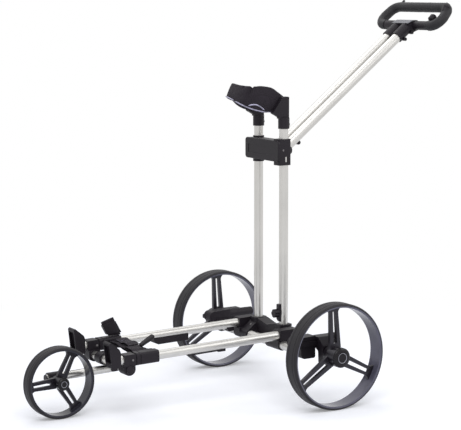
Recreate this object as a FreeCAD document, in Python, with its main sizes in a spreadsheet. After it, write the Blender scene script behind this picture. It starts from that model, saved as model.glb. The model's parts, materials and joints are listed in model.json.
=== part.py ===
"""Three-wheel golf push cart, unfolded, millimetres.

+X is forward, +Y the cart's left, +Z up. The floor is Z = 0.
Two lower rails run from the rear blocks to the front blocks, nose down by a small tilt. Two uprights
stand in a yoke that folds forward about the rear cross tube, and the handle folds about a pin in the
middle bracket.
Each rear wheel folds under on a leg, and the front wheel turns flat with its arm.
"""
import FreeCAD, Part
import Sketcher
import math
import os
import re

# Name, value. Lengths in mm, angles in degrees.
SIZES = [
    # The whole cart
    ("rear_axle_x", -112.0),
    ("fit_gap", 0.05),
    ("running_gap", 0.06),
    ("side_gap", 0.5),
    ("soft_gap", 0.3),
    ("past", 1.0),
    # Rails: two lower tubes, in a frame that starts over the rear axle and tilts nose down
    ("rail_height", 173.0),
    ("rail_tilt", 1.45),
    ("rail_half", 107.0),
    ("rail_radius", 12.7),
    ("rail_wall", 1.6),
    ("rail_start", 0.0),
    ("rail_end", 562.0),
    # Rear block and rear cross tube
    ("block_wall", 2.8),
    ("block_round", 4.0),
    ("rear_block_back", -5.0),
    ("rear_block_long", 61.0),
    ("rear_cross_x", 45.7),
    ("rear_cross_drop", 26.5),
    ("rear_cross_radius", 12.7),
    ("cross_overhang", 8.0),
    ("cross_wall", 1.5),
    ("rear_lobe_wall", 2.8),
    ("lobe_inner", 85.0),
    ("lobe_wide", 33.0),
    # Front block and front cross tube
    ("front_block_long", 35.0),
    ("front_block_inset", 21.0),
    ("front_cross_inset", 18.0),
    ("front_cross_drop", 24.5),
    ("front_cross_radius", 11.5),
    ("front_cross_inset_y", 2.0),
    ("front_lobe_wall", 5.5),
    # Bag rests on the rail ends
    ("rest_overlap", 11.0),
    ("rest_long", 33.0),
    ("rest_wall", 3.0),
    ("rest_inward", 5.0),
    ("rest_rise", 55.0),
    ("rest_back_rise", 24.0),
    ("rest_foot", 16.5),
    ("rest_recess", 16.0),
    # Strap sleeves, strap, buckle and toggle
    ("sleeve_long", 67.0),
    ("sleeve_inset", 1.0),
    ("sleeve_wall", 4.0),
    ("sleeve_groove", 1.6),
    ("sleeve_groove_width", 2.5),
    ("sleeve_collar", 13.0),
    ("strap_width", 40.0),
    ("strap_thick", 5.0),
    ("strap_lean", 27.0),
    ("strap_tip", 1.24),
    ("strap_rise", 42.0),
    ("strap_foot_behind", 7.0),
    ("cross_strap_behind", 4.0),
    ("cross_strap_long", 48.0),
    ("cross_strap_top", 10.0),
    ("cross_strap_bottom", -6.0),
    ("buckle_start", 6.0),
    ("buckle_long", 28.0),
    ("buckle_thick", 11.0),
    ("buckle_edge", 2.5),
    ("buckle_gap", 0.3),
    ("toggle_ahead", 12.0),
    ("toggle_y", 40.0),
    ("toggle_long", 46.0),
    ("toggle_radius", 7.5),
    ("toggle_angle", 62.0),
    # Small parts under the rails
    ("box_back", 225.0),
    ("box_long", 109.0),
    ("box_half_width", 13.0),
    ("box_depth", 12.0),
    ("clip_back", 73.0),
    ("clip_long", 24.0),
    ("clip_depth", 7.0),
    ("strip_back", 228.0),
    ("strip_long", 117.0),
    ("strip_depth", 2.5),
    ("strip_lug", 5.0),
    ("strip_lug_long", 23.0),
    # Front arm, its holder, clamp and axle
    ("arm_y", -43.0),
    ("arm_over_axle", 3.97),
    ("arm_radius", 11.0),
    ("arm_inset", 2.0),
    ("arm_long", 209.0),
    ("holder_long", 23.0),
    ("holder_inset", 21.0),
    ("holder_flat", 9.0),
    ("holder_wall", 4.5),
    ("clamp_long", 33.0),
    ("clamp_inset", 4.0),
    ("clamp_wall", 4.0),
    ("clamp_ear", 9.0),
    ("front_axle_inset", 17.3),
    ("front_axle_radius", 5.0),
    # Front wheel
    ("front_tyre_radius", 96.0),
    ("front_tyre_width", 42.0),
    ("front_tyre_thick", 5.5),
    ("front_rim_thick", 4.5),
    ("front_hub_radius", 17.0),
    ("front_hub_inner", 22.0),
    ("front_hub_outer", 25.0),
    ("front_cap_thick", 8.0),
    ("front_spoke_hub", 14.5),
    ("front_spoke_rim", 11.5),
    ("front_spoke_flare", 11.0),
    ("front_spoke_slot", 4.0),
    ("front_spoke_deep", 9.0),
    ("front_spoke_phase", -3.0),
    # Rear wheels
    ("rear_tyre_radius", 145.0),
    ("rear_tyre_width", 50.0),
    ("rear_tyre_thick", 5.5),
    ("rear_rim_thick", 5.0),
    ("rear_hub_radius", 27.0),
    ("rear_hub_inner", 26.0),
    ("rear_hub_outer", 29.0),
    ("rear_cap_thick", 8.0),
    ("rear_spoke_hub", 17.5),
    ("rear_spoke_rim", 13.0),
    ("rear_spoke_flare", 12.0),
    ("rear_spoke_slot", 5.3),
    ("rear_spoke_deep", 10.0),
    ("rear_spoke_phase", 86.75),
    ("rear_axle_radius", 6.0),
    ("axle_short", 1.0),
    ("wheel_inset", 31.0),
    ("tyre_shoulder", 3.5),
    ("tyre_lip", 0.6),
    ("rim_lip", 2.5),
    ("cap_bevel", 2.5),
    ("cap_dish", 1.4),
    ("slot_end", 14.0),
    # Outriggers: a fixed housing on each end of the rear cross tube, a leg that folds under it
    ("fold_y", 220.0),
    ("fold_height", 176.0),
    ("fold_pin_radius", 5.0),
    ("fold_pin_inset", 12.0),
    ("housing_back", 18.0),
    ("housing_long", 74.0),
    ("housing_rise", 15.0),
    ("housing_tall", 31.0),
    ("housing_inset", 15.0),
    ("housing_wide", 35.0),
    ("ledge_tall", 12.0),
    ("ledge_rise", 1.0),
    ("ledge_out", 6.0),
    ("socket_wall", 4.3),
    ("socket_floor", 3.15),
    ("socket_proud", 5.0),
    ("socket_wide", 38.0),
    ("leg_gap", 0.4),
    ("leg_back", -66.0),
    ("leg_radius", 12.5),
    ("leg_bevel", 4.0),
    ("leg_plate_back", -26.0),
    ("leg_reach", 30.0),
    ("leg_plate_wide", 24.0),
    ("leg_foot", 27.0),
    ("latch_x", -14.0),
    ("latch_radius", 5.0),
    ("latch_proud", 4.0),
    ("latch_drop", 16.0),
    # Upright yoke and uprights
    ("upright_x", 9.0),
    ("upright_half", 65.0),
    ("upright_radius", 12.7),
    ("upright_wall", 1.6),
    ("yoke_floor", 3.0),
    ("cradle_cover", 4.0),
    ("yoke_half_long", 19.0),
    ("yoke_low", 148.0),
    ("yoke_socket_tall", 39.0),
    ("yoke_flange_thick", 6.0),
    ("yoke_half_width", 15.5),
    ("yoke_flange_proud", 1.2),
    ("yoke_dip_deep", 12.0),
    ("yoke_web_rise", 2.0),
    ("eye_wide", 35.0),
    ("eye_wall", 2.8),
    # Middle bracket
    ("bracket_low", 640.5),
    ("bracket_tall", 72.5),
    ("bracket_behind", 15.0),
    ("bracket_mid_behind", 5.0),
    ("bracket_ahead", 25.0),
    ("bracket_wall", 3.0),
    ("bracket_side", 15.0),
    ("cover_thick", 7.0),
    ("cover_side", 6.0),
    ("cover_rise", 10.5),
    ("cover_tall", 58.0),
    ("label_from", -69.0),
    ("label_wide", 99.0),
    ("label_rise", 16.0),
    ("label_tall", 24.0),
    ("label_deep", 1.0),
    ("window_behind", 4.0),
    ("window_long", 8.0),
    ("window_rise", 13.0),
    ("ear_gap", 3.5),
    ("ear_thick", 10.5),
    ("ear_radius", 11.0),
    # Handle
    ("pivot_behind", 27.0),
    ("pivot_rise", 37.5),
    ("pivot_radius", 4.0),
    ("handle_tilt", 38.04),
    ("handle_half", 22.0),
    ("handle_radius", 14.0),
    ("handle_wall", 1.6),
    ("handle_over", 12.0),
    ("handle_bevel", 3.0),
    ("socket_deep", 32.0),
    ("head_start", 496.0),
    ("head_socket_long", 44.0),
    ("head_wall", 3.2),
    ("head_half", 39.0),
    ("plate_inset", 45.7),
    ("plate_long", 21.3),
    ("plate_front_rise", 16.5),
    ("plate_back_rise", 11.1),
    ("plate_slot", 2.0),
    ("head_wrap", 2.5),
    ("boss_inset", 11.0),
    ("boss_step", 30.5),
    ("boss_radius", 5.0),
    ("boss_drop", 14.5),
    ("boss_inner", 30.0),
    ("boss_long", 11.5),
    ("plate_thick", 2.4),
    ("plate_half", 38.0),
    # Handle loop, in a frame of its own at the middle of its lower bar
    ("loop_reach", 65.6),
    ("loop_rise", -7.7),
    ("loop_tilt", 43.4),
    ("loop_length", 74.7),
    ("loop_low_half", 149.0),
    ("loop_high_half", 127.0),
    ("loop_low_round", 30.0),
    ("loop_high_round", 30.0),
    ("loop_shift", -4.0),
    ("grip_radius", 15.0),
    ("core_radius", 13.0),
    ("core_overlap", 8.0),
    ("core_half", 105.0),
    ("stub_radius", 8.5),
    ("stub_inset", 16.0),
    ("stub_end", 89.0),
    ("nub_radius", 4.5),
    ("nub_end", 104.0),
    ("loop_knob_inset", 5.0),
    ("loop_knob_middle", 30.0),
    ("loop_knob_radius", 11.0),
    ("loop_knob_stem", 4.5),
    ("clip_along", 52.0),
    ("clip_ball", 4.7),
    ("clip_step", 20.0),
    ("clip_neck", 2.6),
    # Cradle
    ("cradle_low", 741.0),
    ("cradle_sleeve_tall", 30.0),
    ("cradle_wall", 3.1),
    ("arm_plate_behind", 13.0),
    ("arm_plate_ahead", 7.0),
    ("arm_nose_ahead", 22.0),
    ("arm_nose_rise", 12.0),
    ("arm_foot_ahead", 18.0),
    ("arm_foot_rise", 2.0),
    ("band_behind", 11.0),
    ("band_drop", 1.0),
    ("band_shoulder_ahead", 42.0),
    ("band_shoulder_rise", 24.0),
    ("band_lean", 20.0),
    ("band_top_rise", 12.0),
    ("band_long", 139.0),
    ("band_front_rise", 28.0),
    ("band_turn_inset", 33.0),
    ("band_turn_rise", 12.0),
    ("band_thick", 9.0),
    ("band_round", 36.0),
    ("arm_plate_inset", 8.0),
    ("arm_plate_thick", 15.0),
    ("arm_plate_tall", 58.0),
    # Accessory clamp on the left upright, with a star knob
    ("grip_low", 199.0),
    ("grip_tall", 51.0),
    ("grip_inset", 7.0),
    ("grip_thick", 12.0),
    ("grip_half", 6.5),
    ("knob_rise", 26.0),
    ("knob_radius", 12.0),
    ("knob_long", 14.0),
    ("knob_stud_long", 5.5),
    ("knob_floor", 1.0),
    ("knob_stud", 4.0),
]

# Name, formula. Places that follow from the sizes: what lines up with a neighbour is measured from it.
LINKS = [
    # The rear cross tube's middle, which is also the upright's fold axis
    ("cross_axis_x", "rear_cross_x*cos(rail_tilt) - rear_cross_drop*sin(rail_tilt)"),
    ("cross_axis_z", "rail_height - rear_cross_x*sin(rail_tilt) - rear_cross_drop*cos(rail_tilt)"),
    # Along the rails, in the rail frame
    ("front_block_front", "rail_end - front_block_inset"),
    ("front_block_back", "front_block_front - front_block_long"),
    ("front_cross_x", "front_block_back + front_cross_inset"),
    ("rear_block_front", "rear_block_back + rear_block_long"),
    ("lobe_outer", "lobe_inner + lobe_wide"),
    ("front_cross_half", "lobe_outer - front_cross_inset_y"),
    ("rest_back", "rail_end - rest_overlap"),
    ("rest_front", "rest_back + rest_long"),
    ("sleeve_front", "front_block_back - sleeve_inset"),
    ("sleeve_back", "sleeve_front - sleeve_long"),
    ("strap_foot_x", "sleeve_back - strap_foot_behind"),
    ("cross_strap_back", "sleeve_back - cross_strap_behind"),
    ("cross_strap_front", "cross_strap_back + cross_strap_long"),
    ("toggle_x", "sleeve_back + toggle_ahead"),
    ("box_front", "box_back + box_long"),
    ("clip_front", "clip_back + clip_long"),
    ("strip_front", "strip_back + strip_long"),
    ("holder_front", "front_cross_x - holder_inset"),
    ("holder_back", "holder_front - holder_long"),
    ("arm_start", "holder_back + arm_inset"),
    ("arm_end", "arm_start + arm_long"),
    ("front_axle_x", "arm_end - front_axle_inset"),
    ("clamp_front", "arm_end - clamp_inset"),
    ("clamp_back", "clamp_front - clamp_long"),
    # Outriggers and legs
    ("rear_cross_half", "fold_y + cross_overhang"),
    ("housing_inner", "fold_y - housing_inset"),
    ("housing_outer", "housing_inner + housing_wide"),
    ("socket_inner", "housing_inner - socket_proud"),
    ("socket_outer", "socket_inner + socket_wide"),
    ("leg_plate_inner", "fold_y + leg_reach"),
    ("leg_plate_outer", "leg_plate_inner + leg_plate_wide"),
    ("track_half", "leg_plate_outer + wheel_inset"),
    ("housing_front", "housing_back + housing_long"),
    ("housing_top", "fold_height + housing_rise"),
    ("housing_low", "housing_top - housing_tall"),
    ("ledge_high", "fold_height + ledge_rise"),
    ("ledge_low", "ledge_high - ledge_tall"),
    ("latch_height", "fold_height - latch_drop"),
    ("leg_low", "rear_tyre_radius - leg_foot"),
    ("socket_front", "cross_axis_x + rear_cross_radius + socket_wall"),
    ("socket_low", "cross_axis_z - rear_cross_radius - socket_floor"),
    # Uprights and their yoke
    ("yoke_back", "upright_x - yoke_half_long"),
    ("yoke_front", "upright_x + yoke_half_long"),
    ("upright_start", "yoke_low + yoke_floor"),
    ("yoke_web_low", "yoke_low + yoke_web_rise"),
    ("yoke_socket_top", "yoke_low + yoke_socket_tall"),
    ("yoke_flange_top", "yoke_socket_top + yoke_flange_thick"),
    ("yoke_dip", "yoke_flange_top - yoke_dip_deep"),
    ("eye_inner", "lobe_inner - eye_wide"),
    # Middle bracket
    ("bracket_high", "bracket_low + bracket_tall"),
    ("cover_low", "bracket_low + cover_rise"),
    ("cover_high", "cover_low + cover_tall"),
    ("label_low", "cover_low + label_rise"),
    ("label_high", "label_low + label_tall"),
    ("label_to", "label_from + label_wide"),
    ("window_high", "cover_low + window_rise"),
    ("pivot_height", "bracket_low + pivot_rise"),
    ("bracket_back", "upright_x - bracket_behind"),
    ("bracket_mid_back", "upright_x - bracket_mid_behind"),
    ("bracket_front", "upright_x + bracket_ahead"),
    ("cover_front", "bracket_front + cover_thick"),
    ("pivot_x", "upright_x - pivot_behind"),
    ("window_back", "upright_x - window_behind"),
    ("window_front", "window_back + window_long"),
    ("bracket_half", "upright_half + bracket_side"),
    ("cover_half", "bracket_half + cover_side"),
    ("ear_inner", "handle_half + handle_radius + ear_gap"),
    ("ear_outer", "ear_inner + ear_thick"),
    # Along the handle, and the loop
    ("handle_end", "head_start + socket_deep"),
    ("plate_front", "head_start + plate_inset"),
    ("plate_back", "plate_front + plate_long"),
    ("boss_first", "head_start + boss_inset"),
    ("boss_outer", "boss_inner + boss_long"),
    ("loop_start", "head_start + loop_reach"),
    ("foam_start", "core_half - core_overlap"),
    ("stub_y", "loop_high_half - stub_inset"),
    ("nub_y", "-stub_y"),
    ("loop_knob_y", "foam_start - loop_knob_inset"),
    # Cradle
    ("cradle_sleeve_top", "cradle_low + cradle_sleeve_tall"),
    ("upright_end", "cradle_sleeve_top - cradle_cover"),
    ("arm_plate_back", "upright_x - arm_plate_behind"),
    ("arm_plate_front", "upright_x + arm_plate_ahead"),
    ("arm_foot", "upright_x + arm_foot_ahead"),
    ("arm_nose", "arm_foot + arm_nose_ahead"),
    ("arm_foot_height", "cradle_sleeve_top + arm_foot_rise"),
    ("arm_nose_height", "arm_foot_height + arm_nose_rise"),
    ("cradle_arm_inner", "upright_half - arm_plate_inset"),
    ("cradle_arm_outer", "cradle_arm_inner + arm_plate_thick"),
    ("cradle_arm_top", "cradle_sleeve_top + arm_plate_tall"),
    ("band_back", "upright_x - band_behind"),
    ("band_front", "band_back + band_long"),
    ("band_front_top", "band_front - band_lean"),
    ("band_turn", "band_front - band_turn_inset"),
    ("band_shoulder", "band_back + band_shoulder_ahead"),
    ("band_low", "arm_nose_height - band_drop"),
    ("band_shoulder_top", "cradle_arm_top + band_shoulder_rise"),
    ("band_top", "band_shoulder_top + band_top_rise"),
    ("band_turn_low", "band_low + band_turn_rise"),
    ("band_front_low", "band_turn_low + band_front_rise"),
    # Accessory clamp
    ("grip_back", "upright_x + grip_inset"),
    ("grip_front", "grip_back + grip_thick"),
    ("grip_high", "grip_low + grip_tall"),
    ("knob_height", "grip_low + knob_rise"),
    # The front axle, which stands its tyre on the floor; the tube clip; the loop's lower bar
    ("front_drop", "(rail_height - front_axle_x*sin(rail_tilt) - front_tyre_radius)/cos(rail_tilt)"),
    ("front_wheel_x", "front_axle_x*cos(rail_tilt) - front_drop*sin(rail_tilt)"),
    ("arm_drop", "front_drop - arm_over_axle"),
    ("clip_drop", "handle_radius + clip_ball + running_gap"),
    ("clip_x", "pivot_x - clip_along*cos(handle_tilt) - clip_drop*sin(handle_tilt)"),
    ("clip_z", "pivot_height + clip_along*sin(handle_tilt) - clip_drop*cos(handle_tilt)"),
    ("loop_x", "pivot_x - loop_start*cos(handle_tilt) + loop_rise*sin(handle_tilt)"),
    ("loop_z", "pivot_height + loop_start*sin(handle_tilt) + loop_rise*cos(handle_tilt)"),
]

doc = FreeCAD.newDocument("PushCart")
sheet = doc.addObject("Spreadsheet::Sheet", "Sizes")
for row, (name, entry) in enumerate(SIZES + LINKS, start=1):
    sheet.set("A%d" % row, name)
    sheet.set("B%d" % row, ("=" if (name, entry) in LINKS else "") + str(entry))
    sheet.setAlias("B%d" % row, name)
doc.recompute()

NAMES = {name for name, entry in SIZES + LINKS}
PARTS = []
CUTS = []
SIDES = {"left": 1, "right": -1}


# ---------------------------------------------------------------- formulas
def sized(formula):
    """The formula with each size's name pointed at the sheet."""
    def point(word):
        return "Sizes." + word.group() if word.group() in NAMES else word.group()
    return re.sub(r"[a-z][a-z_0-9]*", point, str(formula))


def value(formula):
    """What the formula comes to now."""
    return float(sheet.evalExpression(sized(formula)))


# ---------------------------------------------------------------- sketches
def corner(x, y, radius=None):
    """One corner of an outline, rounded where it has a radius."""
    return (x, y, radius)


def outline(*corners):
    """A closed outline through its corners, each fixed by its own two dimensions."""
    def draw(sketch):
        count = len(corners)
        points = [FreeCAD.Vector(value(x), value(y), 0) for x, y, radius in corners]
        starts = list(points)
        ends = list(points)
        arcs = {}
        for i, (x, y, radius) in enumerate(corners):
            if radius is None:
                continue
            back = (points[i - 1] - points[i]).normalize()
            on = (points[(i + 1) % count] - points[i]).normalize()
            half = math.acos(max(-1.0, min(1.0, back.dot(on)))) / 2
            reach = value(radius) / math.tan(half)
            starts[i] = points[i] + back * reach
            ends[i] = points[i] + on * reach
            middle = points[i] + (back + on).normalize() * (value(radius) / math.sin(half))
            left_turn = back.cross(on).z < 0
            first, last = (starts[i], ends[i]) if left_turn else (ends[i], starts[i])
            from_angle = math.atan2(first.y - middle.y, first.x - middle.x)
            to_angle = math.atan2(last.y - middle.y, last.x - middle.x)
            circle = Part.Circle(middle, FreeCAD.Vector(0, 0, 1), value(radius))
            arc = sketch.addGeometry(Part.ArcOfCircle(circle, from_angle, to_angle))
            arcs[i] = (arc, 1 if left_turn else 2, 2 if left_turn else 1)
        lines = [
            sketch.addGeometry(Part.LineSegment(ends[i], starts[(i + 1) % count]))
            for i in range(count)
        ]
        for i, (x, y, radius) in enumerate(corners):
            before = lines[i - 1]
            after = lines[i]
            if i in arcs:
                arc, arc_start, arc_end = arcs[i]
                sketch.addConstraint(Sketcher.Constraint("Tangent", before, 2, arc, arc_start))
                sketch.addConstraint(Sketcher.Constraint("Tangent", after, 1, arc, arc_end))
                bind(sketch, Sketcher.Constraint("Radius", arc, value(radius)), radius)
                spot = sketch.addGeometry(Part.Point(points[i]), True)
                sketch.addConstraint(Sketcher.Constraint("PointOnObject", spot, 1, before))
                sketch.addConstraint(Sketcher.Constraint("PointOnObject", spot, 1, after))
                fix_point(sketch, spot, 1, x, y)
            else:
                sketch.addConstraint(Sketcher.Constraint("Coincident", before, 2, after, 1))
                fix_point(sketch, after, 1, x, y)
    return draw


def circle(x, y, radius):
    """A full circle, fixed by its centre and radius."""
    def draw(sketch):
        middle = FreeCAD.Vector(value(x), value(y), 0)
        ring = sketch.addGeometry(Part.Circle(middle, FreeCAD.Vector(0, 0, 1), value(radius)))
        bind(sketch, Sketcher.Constraint("Radius", ring, value(radius)), radius)
        fix_point(sketch, ring, 3, x, y)
    return draw


def box(x_from, x_to, y_from, y_to, radius=None):
    """A rectangle, with one radius at its four corners."""
    return outline(
        corner(x_from, y_from, radius),
        corner(x_to, y_from, radius),
        corner(x_to, y_to, radius),
        corner(x_from, y_to, radius),
    )


def bind(sketch, constraint, formula):
    """Adds a dimension and ties it to the sheet."""
    index = sketch.addConstraint(constraint)
    sketch.setExpression("Constraints[%d]" % index, sized(formula))


def fix_point(sketch, geometry, end, x, y):
    """Places one point of the sketch from the sketch's own origin."""
    bind(sketch, Sketcher.Constraint("DistanceX", -1, 1, geometry, end, value(x)), x)
    bind(sketch, Sketcher.Constraint("DistanceY", -1, 1, geometry, end, value(y)), y)


def sketch_on(body, plane, offset, shapes):
    """A sketch at an offset along the plane's axis. XZ's normal points to -Y, so its offset turns over."""
    sketch = body.newObject("Sketcher::SketchObject", body.Name + "_sketch")
    origin_plane = [item for item in body.Origin.OriginFeatures if item.Role == plane + "_Plane"][0]
    sketch.AttachmentSupport = (origin_plane, [""])
    sketch.MapMode = "FlatFace"
    sign = "-1" if plane == "XZ" else "1"
    sketch.setExpression("AttachmentOffset.Base.z", sized("%s*(%s)" % (sign, offset)))
    for draw in shapes:
        draw(sketch)
    return sketch


# ---------------------------------------------------------------- features
def pad(body, plane, start, end, *shapes):
    """Material between two offsets along the plane's axis."""
    sketch = sketch_on(body, plane, "(%s+%s)/2" % (start, end), shapes)
    feature = body.newObject("PartDesign::Pad", body.Name + "_pad")
    feature.Profile = sketch
    feature.Midplane = True
    feature.setExpression("Length", sized("(%s)-(%s)" % (end, start)))
    return feature


def pocket(body, plane, start, end, *shapes):
    """A cut between two offsets along the plane's axis."""
    sketch = sketch_on(body, plane, "(%s+%s)/2" % (start, end), shapes)
    feature = body.newObject("PartDesign::Pocket", body.Name + "_pocket")
    feature.Profile = sketch
    feature.Midplane = True
    feature.setExpression("Length", sized("(%s)-(%s)" % (end, start)))
    CUTS.append(feature)
    return feature


def turned(body, plane, axis, *shapes):
    """Material turned a full circle about one of the sketch's axes."""
    sketch = sketch_on(body, plane, "0", shapes)
    feature = body.newObject("PartDesign::Revolution", body.Name + "_turned")
    feature.Profile = sketch
    feature.ReferenceAxis = (sketch, [axis])
    feature.Angle = 360.0
    return feature


def soften(body, radius, pick):
    """Rounds the edges of the body's present shape that pick chooses."""
    doc.recompute()
    base = body.Tip
    names = ["Edge%d" % (i + 1) for i, edge in enumerate(base.Shape.Edges) if pick(edge)]
    feature = body.newObject("PartDesign::Fillet", body.Name + "_fillet")
    feature.Base = (base, names)
    feature.setExpression("Radius", sized(radius))
    return feature


def bevel(body, size, pick):
    """Cuts back the edges of the body's present shape that pick chooses."""
    doc.recompute()
    base = body.Tip
    names = ["Edge%d" % (i + 1) for i, edge in enumerate(base.Shape.Edges) if pick(edge)]
    feature = body.newObject("PartDesign::Chamfer", body.Name + "_bevel")
    feature.Base = (base, names)
    feature.setExpression("Size", sized(size))
    return feature


def new_part(name):
    """A body whose label names its file."""
    body = doc.addObject("PartDesign::Body", name)
    body.Label = name
    PARTS.append(body)
    return body


# ---------------------------------------------------------------- frames
def in_frame(body, x="0", y="0", z="0", tilt=None):
    """Places a body from the rear axle's foot, tilted about +Y where its frame is."""
    if tilt is not None:
        body.Placement = FreeCAD.Placement(
            FreeCAD.Vector(0, 0, 0), FreeCAD.Rotation(FreeCAD.Vector(0, 1, 0), value(tilt))
        )
        body.setExpression("Placement.Rotation.Angle", sized("(%s) * 1 deg" % tilt))
    body.setExpression("Placement.Base.x", sized("rear_axle_x + (%s)" % x))
    body.setExpression("Placement.Base.y", sized(y))
    body.setExpression("Placement.Base.z", sized(z))
    return body


def in_rail_frame(body):
    """x along the rails from over the rear axle, z from the rails' own axis."""
    return in_frame(body, z="rail_height", tilt="rail_tilt")


def in_handle_frame(body):
    """-x along the handle from its pivot, z out of its upper side."""
    return in_frame(body, x="pivot_x", z="pivot_height", tilt="handle_tilt")


# ---------------------------------------------------------------- chassis
def rail(side, sign):
    body = in_rail_frame(new_part("lower_tube_" + side))
    ring = (f"{sign}*rail_half", "0")
    pad(
        body, "YZ", "rail_start", "rail_end",
        circle(*ring, "rail_radius"), circle(*ring, "rail_radius - rail_wall"),
    )


def span(sign, inner, outer):
    """Two offsets along Y in rising order, mirrored for the right side."""
    return (inner, outer) if sign > 0 else (f"-({outer})", f"-({inner})")


def rail_block(end, side, sign):
    """A moulded block on a rail, with a round lobe under it that carries the cross tube."""
    body = in_rail_frame(new_part(f"{end}_block_{side}"))
    back = f"{end}_block_back"
    front = f"{end}_block_front"
    cross = (f"{end}_cross_x", f"-{end}_cross_drop")
    half = "(rail_radius + block_wall)"
    lobe = f"({end}_cross_radius + {end}_lobe_wall)"
    sides = span(sign, f"rail_half - {half}", f"rail_half + {half}")
    pad(body, "XZ", *sides, box(back, front, f"-{half}", half, "block_round"))
    lobe_sides = span(sign, "lobe_inner", "lobe_outer")
    pad(
        body, "XZ", *lobe_sides,
        outline(
            corner(f"{cross[0]} - {lobe}", f"-{half} + block_round"),
            corner(f"{cross[0]} - {lobe}", f"{cross[1]} - {lobe}", lobe + "*0.95"),
            corner(f"{cross[0]} + {lobe}", f"{cross[1]} - {lobe}", lobe + "*0.95"),
            corner(f"{cross[0]} + {lobe}", f"-{half} + block_round"),
        ),
    )
    through = span(sign, "lobe_inner - past", f"rail_half + {half} + past")
    pocket(body, "XZ", *through, circle(*cross, f"{end}_cross_radius + fit_gap"))
    bore = "rail_radius + fit_gap"
    bore_start = "rail_start" if end == "rear" else f"{back} - past"
    pocket(body, "YZ", bore_start, f"{front} + {lobe}", circle(f"{sign}*rail_half", "0", bore))


def cross_tube(end):
    body = in_rail_frame(new_part(f"{end}_cross_tube"))
    middle = (f"{end}_cross_x", f"-{end}_cross_drop")
    radius = f"{end}_cross_radius"
    pad(
        body, "XZ", f"-{end}_cross_half", f"{end}_cross_half",
        circle(*middle, radius), circle(*middle, f"{radius} - cross_wall"),
    )


def bag_rest(side, sign):
    """A wedge on the rail's end, hollow at its front, whose sloping top takes the bag."""
    body = in_rail_frame(new_part("bag_rest_" + side))
    half = "(rail_radius + block_wall)"
    sides = span(sign, f"rail_half - {half} - rest_inward", f"rail_half + {half}")
    pad(
        body, "XZ", *sides,
        outline(
            corner("rest_back", "-rest_foot", "block_round"),
            corner("rest_front - 6", "-rest_foot", "block_round"),
            corner("rest_front", "rest_rise - 4", "block_round/2"),
            corner("rest_front - 5", "rest_rise", "block_round/2"),
            corner("rest_front - 30", "rest_back_rise + 9", "block_round*3"),
            corner("rest_back", "rest_back_rise", "block_round"),
        ),
    )
    recess = span(
        sign, f"rail_half - {half} - rest_inward + rest_wall", f"rail_half + {half} - rest_wall",
    )
    pocket(
        body, "XZ", *recess,
        outline(
            corner("rest_front - rest_recess", "-rest_foot + rest_wall*5"),
            corner("rest_front + rest_wall", "-rest_foot + rest_wall*5"),
            corner("rest_front + rest_wall", "rest_rise - rest_wall*3"),
            corner("rest_front - rest_recess/2", "rest_rise - rest_wall*4"),
        ),
    )
    pocket(
        body, "YZ", "rest_back - rest_wall", "rail_end + fit_gap",
        circle(f"{sign}*rail_half", "0", "rail_radius + fit_gap"),
    )


def strap_sleeve(side, sign):
    """A collared sleeve on the rail that holds the strap."""
    body = in_rail_frame(new_part("strap_sleeve_" + side))
    half = "(rail_radius + sleeve_wall)"
    middle = f"{sign}*rail_half"
    pad(
        body, "YZ", "sleeve_back", "sleeve_front",
        box(f"{middle} - {half}", f"{middle} + {half}", f"-{half}", half, "block_round*2"),
    )
    pocket(
        body, "YZ", "sleeve_front - sleeve_collar", "sleeve_front - sleeve_collar + sleeve_groove_width",
        box(
            f"{middle} - {half} - past", f"{middle} + {half} + past",
            f"-{half} - past", f"{half} + past",
        ),
        box(
            f"{middle} - {half} + sleeve_groove", f"{middle} + {half} - sleeve_groove",
            f"-{half} + sleeve_groove", f"{half} - sleeve_groove",
        ),
    )
    pocket(
        body, "YZ", "sleeve_back - past", "sleeve_front + past",
        circle(middle, "0", "rail_radius + fit_gap"),
    )


def leaning(start, end, margin="0"):
    """The standing strap's outline between two heights at its front edge; its rear edge climbs further."""
    foot = "rail_radius + sleeve_wall + buckle_gap"
    rear = f"strap_foot_x - {margin}"
    front = f"strap_foot_x + strap_width + {margin}"
    rear_start = f"({start})*strap_tip"
    rear_end = f"({end})*strap_tip"
    return outline(
        corner(f"{rear} + {rear_start}*tan(strap_lean)", f"{foot} + {rear_start}"),
        corner(f"{front} + ({start})*tan(strap_lean)", f"{foot} + {start}"),
        corner(f"{front} + ({end})*tan(strap_lean)", f"{foot} + {end}", "strap_thick"),
        corner(f"{rear} + {rear_end}*tan(strap_lean)", f"{foot} + {rear_end}", "strap_thick"),
    )


def lower_strap():
    """Webbing that crosses between the sleeves, and its loose half that stands up from the right sleeve."""
    cross = in_rail_frame(new_part("cross_strap"))
    half = "(rail_half - rail_radius - sleeve_wall - soft_gap)"
    pad(
        cross, "XZ", f"-{half}", half,
        box(
            "cross_strap_back", "cross_strap_front",
            "cross_strap_bottom", "cross_strap_top", "strap_thick/2",
        ),
    )
    strap = in_rail_frame(new_part("standing_strap"))
    pad(strap, "XZ", "-rail_half - strap_thick/2", "-rail_half + strap_thick/2", leaning("0", "strap_rise"))
    buckle = in_rail_frame(new_part("strap_buckle"))
    body = leaning("buckle_start", "buckle_start + buckle_long", "buckle_edge")
    slot = leaning("buckle_start - strap_thick", "buckle_start + buckle_long + 2*strap_thick", "buckle_gap")
    pad(buckle, "XZ", "-rail_half - buckle_thick/2", "-rail_half + buckle_thick/2", body)
    half_slot = "(strap_thick/2 + buckle_gap)"
    pocket(buckle, "XZ", f"-rail_half - {half_slot}", f"-rail_half + {half_slot}", slot)


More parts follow.
